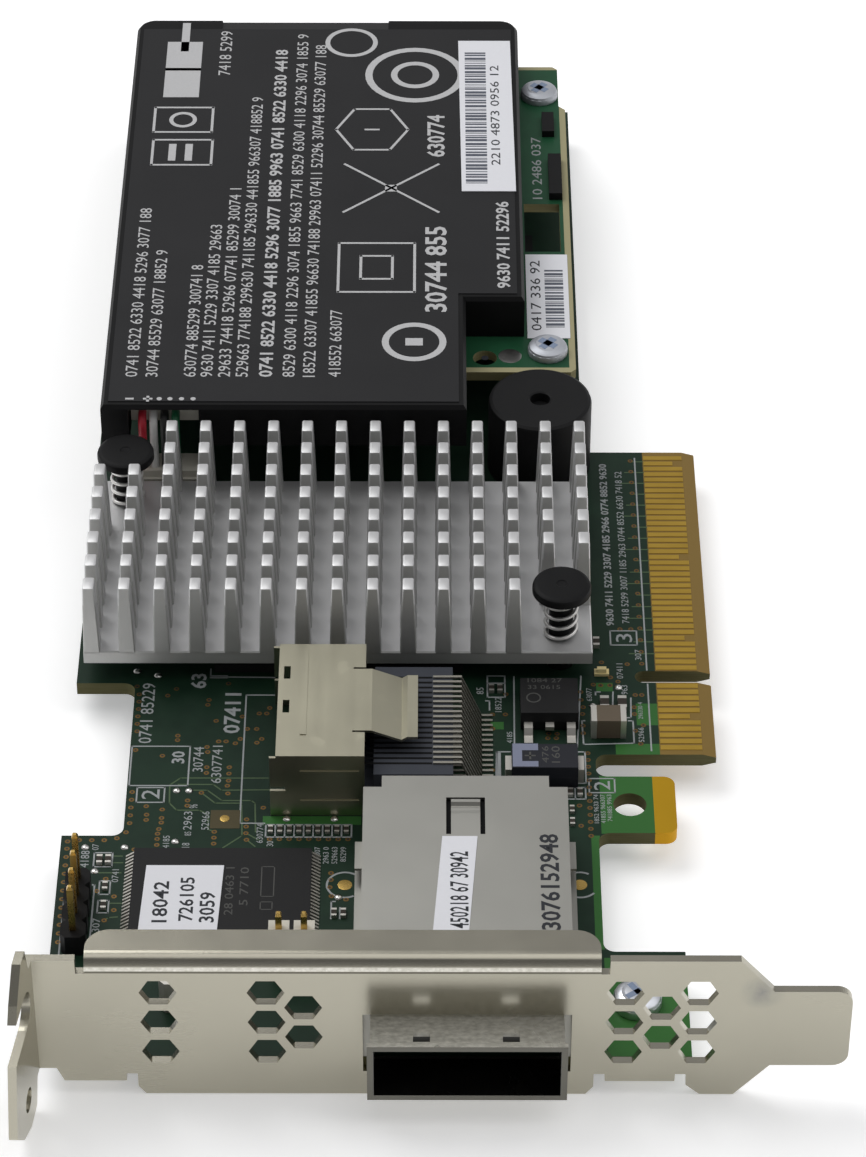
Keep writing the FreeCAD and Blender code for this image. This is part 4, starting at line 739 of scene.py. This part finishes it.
silk = dict(
    z=0.014, width=0.17, boldWidth=0.45, ringRadii=(1.75, 1.97),
    lines=[
        [(21.7, -3.1), (18.5, -3.1), (18.5, -23.4), (21.1, -23.4)], boxLine(6.6, 12.8, -17.6, -11.4),
        boxLine(7.5, 10.4, -20.2, -17.9), [(14.5, 1.2), (14.5, -0.1), (21.5, -0.2)],
        [(62.0, 38.5), (62.0, 1.1)], [(62.0, -1.2), (62.0, -12.0)],
        boxLine(58.2, 61.1, 5.3, 7.7), [(47.5, 0), (47.4, -11.2)], [(54.8, 0.1), (54.1, -11.4)],
        [(55.0, -7.2), (54.7, -7.2), (54.8, -11.0), (60.2, -10.8), (60.2, -7.2), (59.7, -7.2)],
        [(46.9, -12.2), (45.5, -12.2), (45.4, -15.9)],
        [(54.1, -12.2), (54.9, -12.2), (54.9, -17.1), (52.7, -17.3)],
        boxLine(52.7, 54.8, -19.6, -17.8), [(53.7, -19.6), (53.7, -17.8)],
        boxLine(55.2, 57.9, -18.6, -16.4), [(56.3, -3.0), (56.3, -2.5), (56.8, -2.5)],
        [(58.2, -2.5), (58.1, -4.6)], [(60.1, -3.5), (60.0, -6.7), (59.6, -6.7)],
        boxLine(44.6, 46.5, -3.4, 0.1), [(44.6, -1.1), (46.5, -1.1)],
        [(44.4, -4.0), (44.8, -4.0), (44.8, -5.5)], boxLine(3.6, 5.5, -30.0, -27.9),
        boxLine(4.4, 5.5, -34.1, -32.1), boxLine(4.4, 5.5, -36.8, -35.0),
        [(3.7, -32.7), (3.9, -32.7), (3.9, -43.4)], [(0.9, -34.7), (0.9, -42.9)],
        boxLine(21.25, 30.2, -25.5, -23.6), [(28.3, -37.6), (28.3, -35.1), (28.7, -35.1)],
        [(29.2, -36.0), (29.2, -37.6)],
    ] + [[(21.25 + 0.99 * i, -23.6), (21.25 + 0.99 * i, -25.5)] for i in range(1, 9)],
    bold=[[(45.7, -12.4), (45.7, -15.9)], [(14.6, -0.1), (16.2, -0.1)]],
    rings=[(29.65, -32.66, 40, 300), (53.83, -32.6, 60, 320)],
    single=[(8.0, 9.9, -19.7, -18.2, "2"), (58.8, 60.6, 5.8, 7.2, "3"), (55.7, 57.4, -18.2, -16.8, "2")],
    words=[(7.2, 8.6, -10.9, -1.2), (13.2, 14.3, -15.4, -11.5), (15.2, 16.3, -17.2, -11.3),
           (13.1, 14.0, -21.1, -20.5), (12.6, 13.5, -24.4, -21.6),
           (14.5, 15.3, -24.4, -21.6), (12.8, 13.5, -25.3, -24.7), (12.6, 13.4, -27.1, -26.4),
           (10.6, 11.3, -27.2, -25.3), (59.6, 60.4, 9.0, 36.0), (58.7, 59.4, -0.3, 2.2),
           (60.8, 61.5, 2.8, 4.5), (55.3, 55.9, -4.0, -1.9), (59.1, 59.8, -2.9, -1.4),
           (60.8, 61.3, -6.9, -4.2), (60.7, 61.3, -10.6, -8.3), (43.4, 44.2, -2.9, -1.8),
           (45.4, 46.1, -5.8, -3.4), (46.6, 47.2, -10.8, -9.0), (2.2, 3.1, -30.7, -27.6),
           (5.6, 6.3, -32.3, -30.4), (4.0, 4.8, -39.6, -37.6), (20.3, 21.0, -26.4, -23.5),
           (26.4, 27.0, -29.5, -27.0), (27.3, 27.9, -29.5, -27.0), (28.2, 28.8, -29.5, -27.0),
           (29.1, 29.7, -29.2, -27.0), (55.6, 56.1, -23.3, -18.9), (56.3, 56.8, -23.3, -18.9),
           (57.0, 57.5, -23.0, -18.9), (3.3, 4.0, -27.5, -26.6), (21.4, 22.1, -26.9, -26.1)],
    bolder=[(16.2, 18.0, -9.3, -2.8), (10.9, 12.3, -14.1, -12.2), (12.4, 14.1, -2.0, 0.4),
            (57.8, 58.7, 8.6, 37.4)],
)


# White print on the board: bars along the lines, open rings and digits, all z thick.
def boardSilk():
    z = silk["z"]
    inner, outer = silk["ringRadii"]
    parts = [strokes(silk["lines"], silk["width"], 0, z),
             strokes(silk["bold"], silk["boldWidth"], 0, z)]
    parts += [arcBand(x, y, inner, outer, 0, z, a, b) for x, y, a, b in silk["rings"]]
    parts += digits(silk["single"] + filled(silk["words"]), 0, z)
    parts += digits(filled(silk["bolder"]), 0, z, bold=0.02)
    meshPiece("board_print", parts, whiteInk)


copper = dict(
    vias=[
        (6.6, -1.7), (6.9, -3.0), (6.95, -4.2), (6.95, -5.4), (6.95, -6.6), (6.95, -7.8), (7.0, -9.0),
        (7.0, -12.0), (7.0, -18.6), (7.0, -19.8), (7.0, -21.0), (7.0, -22.2), (7.0, -23.4),
        (6.7, -24.8), (5.8, -25.7), (4.5, -26.0), (3.2, -26.0), (1.9, -26.0), (0.7, -26.2),
        (8.6, -20.8), (8.7, -22.1), (8.7, -22.9), (10.3, -21.3), (10.3, -22.6), (10.3, -23.3),
        (10.1, -24.3), (10.0, -25.0), (10.0, -25.8), (10.0, -26.7), (12.9, -19.9), (12.9, -20.7),
        (11.4, -9.7), (11.4, -10.4), (10.9, -2.1), (10.0, -3.2), (9.9, -12.9), (14.7, -14.7),
        (14.7, -15.6), (14.6, -11.5), (14.7, -12.3), (14.3, -18.7), (17.0, -17.6), (17.1, -18.8),
        (17.1, -16.8), (17.1, -15.7), (17.1, -14.7), (16.6, -10.6), (15.8, -10.6), (17.6, -10.9),
        (18.1, -10.2), (19.8, -8.6), (18.8, -8.6), (20.0, -6.1), (20.8, -6.1), (21.1, -5.2),
        (18.2, -6.6), (20.4, -10.2), (19.9, -10.8), (20.9, -21.0), (19.2, -22.8), (19.2, -23.9),
        (19.2, -24.9), (19.3, -25.9), (15.9, -24.7), (15.9, -25.6), (15.9, -26.5), (14.4, -4.7),
        (14.5, -3.9), (15.4, -7.3), (16.5, -1.2), (59.9, 2.1), (59.3, 8.0), (60.5, 8.0),
        (57.1, 2.4), (54.1, -20.6), (54.2, -23.7), (45.1, -6.2), (45.1, -8.5), (45.0, -15.1),
        (51.1, -9.3), (51.0, -10.0), (52.0, -9.3), (51.9, -10.0), (54.7, -2.5), (54.7, -3.8),
        (54.9, -5.0), (54.8, -6.1), (54.8, -8.0), (54.8, -9.2), (60.4, -5.0), (60.4, -6.1),
        (60.6, -3.0), (61.3, -3.0), (56.1, -1.3), (56.9, -1.4), (57.9, -1.4), (58.0, -0.1),
        (58.8, -0.8), (46.6, -2.9), (46.5, -6.2), (60.4, -8.8), (60.9, -10.9), (61.3, -7.9),
        (48.9, -10.8), (5.0, -31.8), (4.2, -33.6), (6.0, -34.4), (6.1, -36.4), (5.2, -37.9),
        (7.7, -27.4), (28.2, -30.9), (28.2, -31.9), (28.1, -33.0), (28.3, -34.3), (29.8, -34.8),
    ] + [(21.7 + 1.02 * i, -25.8) for i in range(9)] + [(0.7, -27.3 - 1.25 * i) for i in range(12)]
      + [(61.5, 38.0 - 1.99 * i) for i in range(19)] + [(55.2, -12.4 - 1.07 * i) for i in range(13)],
    dots=[(8.8, 0.1), (11.7, -18.4), (13.0, -18.4), (11.9, -26.2), (6.7, -27.1), (2.6, -27.1),
          (6.5, 0.8), (58.8, -1.8), (55.9, -4.8), (3.8, -30.7), (29.0, -34.5), (23.4, -22.72),
          (28.4, -22.72), (34.0, -22.72)],
    gold=[(29.65, -32.66, 0.75), (53.83, -32.6, 0.75)],
    # profiles of radius and height
    viaRing=[(0.12, 0.004), (0.30, 0.0), (0.29, 0.012), (0.20, 0.018), (0.13, 0.010)],
    viaHole=[(0.13, 0.001), (0.13, 0.016), (0.05, 0.017)],
    dome=[(0.42, 0.0), (0.42, 0.04), (0.34, 0.14), (0.18, 0.21), (0.02, 0.23)],
    testPoint=(16.9, -22.7), testDisc=[(0.5, 0.0), (0.5, 0.05), (0.42, 0.06), (0.02, 0.06)],
    pad=(16.95, -22.8, 1.55, 1.4, 0.0), padThick=0.02,
    traceWidth=0.16, traceThick=0.008,
    fan=dict(count=18, first=1.0, pitch=2.0, start=62.95, end=61.4, stagger=0.6),
    traces=[
        [(21.3, -16.4), (12.0, -16.4), (10.9, -17.5), (11.0, -20.3), (11.8, -21.4), (14.2, -21.4),
         (15.2, -22.1), (15.2, -24.3), (15.9, -24.7)],
        [(11.8, -17.4), (15.5, -17.4), (16.4, -18.3), (22.7, -18.2)],
        [(13.0, -18.3), (14.9, -18.3), (16.5, -19.9), (19.6, -19.9), (20.0, -20.3), (20.2, -24.7)],
        [(14.3, -18.7), (15.8, -20.3), (18.6, -20.3)], [(18.6, -20.6), (18.8, -25.3), (16.9, -27.1)],
        [(19.2, -24.9), (20.5, -25.9)], [(19.3, -25.9), (20.2, -26.9)], [(5.6, -28.4), (6.5, -28.4)],
        [(5.6, -29.4), (6.6, -29.4)], [(4.0, -30.9), (6.5, -30.9)], [(5.6, -35.4), (6.8, -35.4)],
        [(5.2, -37.9), (5.6, -37.5), (6.5, -37.4)],
    ],
)


# Plated holes as low rings with dark discs of painted shade in them, solder as low domes, and thin runs of
# covered copper.
def boardCopper():
    vias = copper["vias"]
    meshPiece("board_vias", [turned(vias, copper["viaRing"], 12)], viaGold)
    meshPiece("board_via_holes", [turned(vias, copper["viaHole"], 8)], darkPrintAndHoleShade)
    meshPiece("solder_dots", [turned(copper["dots"], copper["dome"], 20)], solder)
    parts = [turned([(x, y)], [(r, 0.0), (r, 0.02), (r - 0.1, 0.03), (0.02, 0.03)], 32)
             for x, y, r in copper["gold"]]
    parts.append(turned([copper["testPoint"]], copper["testDisc"], 28))
    meshPiece("gold_dots", parts, pinGold)
    pad = bars([copper["pad"]], 0, copper["padThick"])
    meshPiece("copper_pad", [pad], copperMask)
    runs = list(copper["traces"])
    fan = copper["fan"]
    far = nodeBox("edge_contacts_top")[1].y
    for i in range(fan["count"]):
        y = far - fan["first"] - i * fan["pitch"]
        runs.append([(fan["start"], y), (fan["end"] - fan["stagger"] * (i % 3), y)])
    meshPiece("board_traces", [strokes(runs, copper["traceWidth"], 0, copper["traceThick"])],
              traceInk)


packPrint = dict(
    thick=0.012, width=0.32,
    rows=[(3.8, 5.2, 35.6, 68.9), (6.1, 7.5, 35.6, 60.3), (10.4, 11.8, 35.6, 57.3),
          (12.3, 13.7, 35.6, 65.5), (14.3, 15.7, 35.6, 73.1), (16.3, 17.7, 35.6, 92.9),
          (21.6, 23.0, 35.6, 107.3), (23.9, 25.3, 35.6, 104.8), (26.8, 28.2, 35.6, 48.4),
          (11.9, 13.4, 97.9, 108.0)],
    bold=[(18.9, 20.5, 35.6, 103.7), (37.7, 40.3, 48.1, 65.2), (37.9, 40.1, 79.9, 89.0),
          (46.1, 47.7, 52.8, 70.4)],
    lines=[boxLine(27.6, 36.5, 52.0, 61.8), boxLine(30.2, 33.9, 54.6, 59.2),
           [(28.0, 68.2), (39.3, 78.3)], [(39.3, 68.2), (28.0, 78.3)],
           [(26.8, 85.8), (29.0, 81.4), (33.4, 81.4), (35.6, 85.8), (33.4, 90.3), (29.0, 90.3),
            (26.8, 85.8)], boxLine(4.5, 11.6, 85.2, 90.6), boxLine(4.6, 11.8, 78.1, 83.5),
           [(4.2, 31.5), (4.9, 31.5)], [(6.2, 31.5), (7.0, 31.5)], [(6.6, 31.1), (6.6, 31.9)],
           [(30.4, 85.8), (32.0, 85.8)]],
    rings=[(36.5, 42.3, 2.9, 3.7), (36.4, 98.0, 5.3, 6.2), (28.4, 105.4, 2.7, 3.3),
           (36.4, 98.0, 2.2, 3.0), (8.0, 87.9, 1.2, 1.7)],
    blocks=[(7.5, 96.2, 2.2, 3.3, 0.0), (7.5, 102.2, 2.2, 3.3, 0.0), (7.5, 106.6, 0.5, 3.3, 0.0),
            (9.0, 80.8, 0.45, 1.8, 0.0), (7.0, 80.8, 0.45, 1.8, 0.0), (33.6, 73.2, 0.7, 0.7, 0.0)],
    dots=[(7.9, 31.5), (9.1, 31.5), (10.4, 31.5), (11.7, 31.5)], dotRadius=0.3,
    single=[(35.5, 37.5, 41.6, 43.0, "1")],
)


# Print on the battery label: digits, bars, rings and dots, all of one thickness.
def batteryPrint():
    z0 = nodeBox("battery_label")[1].z
    z1 = z0 + packPrint["thick"]
    parts = digits(filled(packPrint["rows"]), z0, z1)
    parts += digits(filled(packPrint["bold"]), z0, z1, bold=0.02)
    parts += digits(packPrint["single"], z0, z1, bold=0.02)
    parts += [strokes(packPrint["lines"], packPrint["width"], z0, z1),
              bars(packPrint["blocks"], z0, z1)]
    parts += [arcBand(x, y, a, b, z0, z1) for x, y, a, b in packPrint["rings"]]
    dot = packPrint["dotRadius"]
    parts.append(turned(packPrint["dots"], [(dot, z0), (dot, z1), (0.02, z1)], 12))
    meshPiece("pack_print", parts, printInk)


# Bar marks: widths and gaps from a short repeating count, so no two nearby are alike.
def barMarks(x0, x1, y0, y1, z0, z1, step):
    y = y0
    rows = []
    i = 0
    while y < y1 - step * 3:
        wide = step * (1 + (i * 5 + i // 3) % 3)
        gap = step * (1 + (i * 3 + i // 4) % 2)
        rows.append(((x0 + x1) / 2, y + wide / 2, (x1 - x0) / 2, wide / 2, 0.0))
        y += wide + gap
        i += 1
    return bars(rows, z0, z1)


labelMarks = dict(
    thin=0.008, cageRoof=6.5,
    packBars=(42.6, 45.2, 74.1, 103.6), packStep=0.17,
    deckBars=(51.9, 54.1, 52.6, 64.9), deckStep=0.16,
    pack=[(45.7, 46.8, 78.0, 100.0, "2210 4873 0956 12")],
    deck=[(50.2, 51.4, 52.0, 66.0, "0417 336 92")],
    flash=[(10.1, 11.7, -39.4, -33.4, "18042"), (12.8, 14.3, -39.2, -32.8, "726105"),
           (14.9, 16.5, -39.4, -35.0, "3059")],
    port=[(40.4, 42.3, -45.7, -34.6, "450218 67 30942")],
    cage=[(49.5, 51.5, -45.8, -31.9, "3076152948")],
)


# Print on the paper labels and the cage's roof, each as high as what carries it.
def labelPrint():
    m = labelMarks
    z = nodeBox("pack_barcode_label")[1].z
    deck = nodeBox("deck_barcode_label")[1].z
    flash = nodeBox("flash_label")[1].z
    port = nodeBox("port_label")[1].z
    thin = m["thin"]
    parts = [barMarks(*m["packBars"], z, z + thin, m["packStep"]),
             barMarks(*m["deckBars"], deck, deck + thin, m["deckStep"])]
    meshPiece("bar_marks", parts, barInk)
    top = m["cageRoof"]
    words = digits(m["pack"], z, z + thin) + digits(m["deck"], deck, deck + thin)
    words += digits(m["flash"], flash, flash + thin, bold=0.015)
    words += digits(m["port"], port, port + thin, bold=0.01)
    words += digits(m["cage"], top, top + thin, bold=0.02)
    meshPiece("label_digits", words, darkPrintAndHoleShade)


chipPrint = dict(
    thin=0.008, boxWidth=0.12, plusWidth=0.2,
    stripe=(48.45, -15.9, 1.35, 1.8, 0.0), box=(48.95, -16.0, 0.85, 0.85, 0.0),
    plus=[[(48.45, -16.0), (49.45, -16.0)], [(48.95, -16.5), (48.95, -15.5)]],
    tantalum=[(50.2, 50.9, -17.1, -14.5, "476"), (51.2, 52.1, -17.1, -14.5, "160")],
    regulator=[(48.9, 52.6, -3.5, -2.85, "1084 27"), (48.9, 52.4, -4.6, -3.95, "33 0615")],
    ring=(49.5, -6.0, 0.65, 0.8),
    flashBoxes=[boxLine(21.1, 22.4, -35.5, -31.1), boxLine(21.1, 22.3, -37.4, -36.3)],
    flash=[(17.4, 18.3, -38.2, -31.2, "28 0463 1"), (18.9, 19.8, -36.8, -31.2, "5 7710")],
)


# Marks on the chips. The tantalum case has a stripe, a dark box on it and a plus on that,
# each one thickness higher.
def chipMarks():
    c = chipPrint
    thin = c["thin"]
    tall = nodeBox("tantalum_capacitor")[1].z
    flat = nodeBox("voltage_regulator")[1].z
    flash = nodeBox("flash_memory")[1].z
    meshPiece("polarity_stripe", [bars([c["stripe"]], tall, tall + thin)], stripeInk)
    meshPiece("polarity_box", [bars([c["box"]], tall + thin, tall + 2 * thin)], tantalumCase)
    parts = [strokes(c["plus"], c["plusWidth"], tall + 2 * thin, tall + 3 * thin)]
    parts += digits(c["tantalum"], tall, tall + thin)
    parts += digits(c["regulator"], flat, flat + thin, "x")
    parts.append(arcBand(*c["ring"], flat, flat + thin))
    parts.append(strokes(c["flashBoxes"], c["boxWidth"], flash, flash + thin))
    parts += digits(c["flash"], flash, flash + thin)
    meshPiece("chip_marks", parts, faintInk)


grooves = dict(count=18, first=-6.5, pitch=0.80, start=28.6, end=38.6, width=0.30,
               top=5.5, thick=0.012)


# Dark bars of painted shade for the grooves between the ribs of the housing's deck, one in front of each
# contact tail.
def housingGrooves():
    g = grooves
    top = g["top"]
    rows = [((g["start"] + g["end"]) / 2, g["first"] - g["pitch"] * i,
             (g["end"] - g["start"]) / 2, g["width"] / 2, 0.0) for i in range(g["count"])]
    meshPiece("housing_grooves", [bars(rows, top, top + g["thick"])], coreBlack)


deckPrint = dict(
    digits=[(50.8, 52.0, 79.1, 92.5, "10 2486 037")], thick=0.015,
    pad=(47.6, 47.1), padProfile=[(1.35, 0.0), (1.35, 0.02), (1.2, 0.03), (0.02, 0.03)],
    hole=(44.7, 46.75), holeProfile=[(0.42, 0.0), (0.42, 0.012), (0.02, 0.012)],
)


# Marks on the battery board, and a dark disc of painted shade for a hole. A profile is radius and height
# above the board.
def deckMarks():
    d = deckPrint
    top = nodeBox("battery_board")[1].z
    meshPiece("deck_print", digits(d["digits"], top, top + d["thick"]), whiteInk)
    pad = [(r, top + h) for r, h in d["padProfile"]]
    meshPiece("deck_pad", [turned([d["pad"]], pad, 32)], solder)
    # a dark disc of painted shade for the hole
    hole = [(r, top + h) for r, h in d["holeProfile"]]
    meshPiece("deck_hole", [turned([d["hole"]], hole, 20)], darkPrintAndHoleShade)


makers = [sinkFins, pushPins, pinSprings, leadWires, buzzerCan, boardSilk, boardCopper,
          batteryPrint, labelPrint, chipMarks, housingGrooves, deckMarks]
for maker in makers:
    maker()
panHeads("bracket_heads", "bracket_screws", dict(
    row="x", radius=2.45, rise=1.7, slot="screw_steel", finish=zinc,
    cross=dict(turn=0.6, reach=0.55, width=0.13, finish=recessShade)))
panHeads("deck_heads", "battery_board_screws", dict(
    row="y", radius=2.3, rise=1.3, slot="screw_steel", finish=flatZinc,
    cross=dict(turn=0.9, reach=0.50, width=0.20, finish=recessShade)))


studio = dict(
    floorSize=3.0,
    floorColour=(0.93, 0.93, 0.93), floorGlow=0.34,
    lampAim=(-0.03, 0.02, 0.0),
    # name, place, size and power
    lamps=[("keyLamp", (-0.5, 0.45, 0.9), 0.8, 5.5), ("fillLamp", (0.6, 0.1, 0.9), 0.9, 2.0),
           ("topLamp", (0.1, -0.15, 1.1), 0.8, 1.5)],
    skyLow=(0.75, 0.75, 0.76), skyHigh=(0.28, 0.28, 0.29), skyRise=(0.05, 0.8),
    front=0.50, frontToBack=(-0.7, 0.3),
    cameraPlace=(-30.513, -346.074, 301.516), tilt=49.927, roll=-0.079, turn=0.035,
    lens=131.25, shiftX=0.00086, shiftY=0.02168,
)


def pathShare(tree):
    # 1 for camera, glossy and transmission rays, 0 for the light on the object
    path = tree.nodes.new("ShaderNodeLightPath")
    total = None
    for name in ("Is Camera Ray", "Is Glossy Ray", "Is Transmission Ray"):
        if total is None:
            total = path.outputs[name]
            continue
        both = tree.nodes.new("ShaderNodeMath")
        both.operation = "MAXIMUM"
        tree.links.new(total, both.inputs[0])
        tree.links.new(path.outputs[name], both.inputs[1])
        total = both.outputs[0]
    return total


def setStage():
    size = studio["floorSize"]
    z = cadBox[0].z - 0.0001
    mesh = bpy.data.meshes.new("floor")
    mesh.from_pydata([(-size, -size, z), (size, -size, z), (size, size, z), (-size, size, z)],
                     [], [(0, 1, 2, 3)])
    floor = bpy.data.objects.new("floor", mesh)
    bpy.context.scene.collection.objects.link(floor)
    material = bpy.data.materials.new("paleFloor")
    material.use_nodes = True
    tree = material.node_tree
    diffuse = tree.nodes["Principled BSDF"]
    diffuse.inputs["Base Color"].default_value = (*studio["floorColour"], 1)
    diffuse.inputs["Roughness"].default_value = 0.9
    diffuse.inputs["Specular IOR Level"].default_value = 0.1
    diffuse.inputs["Emission Strength"].default_value = studio["floorGlow"]
    tree.links.new(pathShare(tree), diffuse.inputs["Emission Color"])
    mesh.materials.append(material)


def addLamp(name, place, aim, size, power):
    data = bpy.data.lights.new(name, "AREA")
    data.shape = "DISK"
    data.size = size
    data.energy = power
    lamp = bpy.data.objects.new(name, data)
    bpy.context.scene.collection.objects.link(lamp)
    lamp.location = place
    lamp.rotation_euler = (Vector(aim) - Vector(place)).to_track_quat("-Z", "Y").to_euler()


# The world is a soft room: palest at the horizon and behind, dimmer above and in front.
def setWorld():
    world = bpy.data.worlds.new("studioWorld")
    bpy.context.scene.world = world
    world.use_nodes = True
    tree = world.node_tree
    coords = tree.nodes.new("ShaderNodeTexCoord")
    split = tree.nodes.new("ShaderNodeSeparateXYZ")
    tree.links.new(coords.outputs["Generated"], split.inputs[0])
    rise = tree.nodes.new("ShaderNodeMapRange")
    rise.inputs["From Min"].default_value = studio["skyRise"][0]
    rise.inputs["From Max"].default_value = studio["skyRise"][1]
    tree.links.new(split.outputs[2], rise.inputs["Value"])
    sky = tree.nodes.new("ShaderNodeMix")
    sky.data_type = "RGBA"
    sky.inputs[6].default_value = (*studio["skyLow"], 1)
    sky.inputs[7].default_value = (*studio["skyHigh"], 1)
    tree.links.new(rise.outputs[0], sky.inputs[0])
    back = tree.nodes.new("ShaderNodeMapRange")
    back.inputs["From Min"].default_value = studio["frontToBack"][0]
    back.inputs["From Max"].default_value = studio["frontToBack"][1]
    back.inputs["To Min"].default_value = studio["front"]
    back.inputs["To Max"].default_value = 1.0
    tree.links.new(split.outputs[1], back.inputs["Value"])
    ground = tree.nodes["Background"]
    tree.links.new(sky.outputs[2], ground.inputs[0])
    tree.links.new(back.outputs[0], ground.inputs[1])


def setLights():
    for name, place, size, power in studio["lamps"]:
        addLamp(name, place, studio["lampAim"], size, power)


def setCamera():
    data = bpy.data.cameras.new("camera")
    data.lens = studio["lens"]
    data.sensor_width = 36
    data.shift_x = studio["shiftX"]
    data.shift_y = studio["shiftY"]
    data.clip_start = 0.01
    data.clip_end = 20
    camera = bpy.data.objects.new("camera", data)
    bpy.context.scene.collection.objects.link(camera)
    camera.location = [v * mm for v in studio["cameraPlace"]]
    camera.rotation_euler = [math.radians(studio[k]) for k in ("tilt", "roll", "turn")]
    bpy.context.scene.camera = camera


setStage()
setWorld()
setLights()
setCamera()
bpy.context.scene.view_settings.view_transform = "Standard"
print("stage, light and camera set")

bpy.context.view_layer.update()
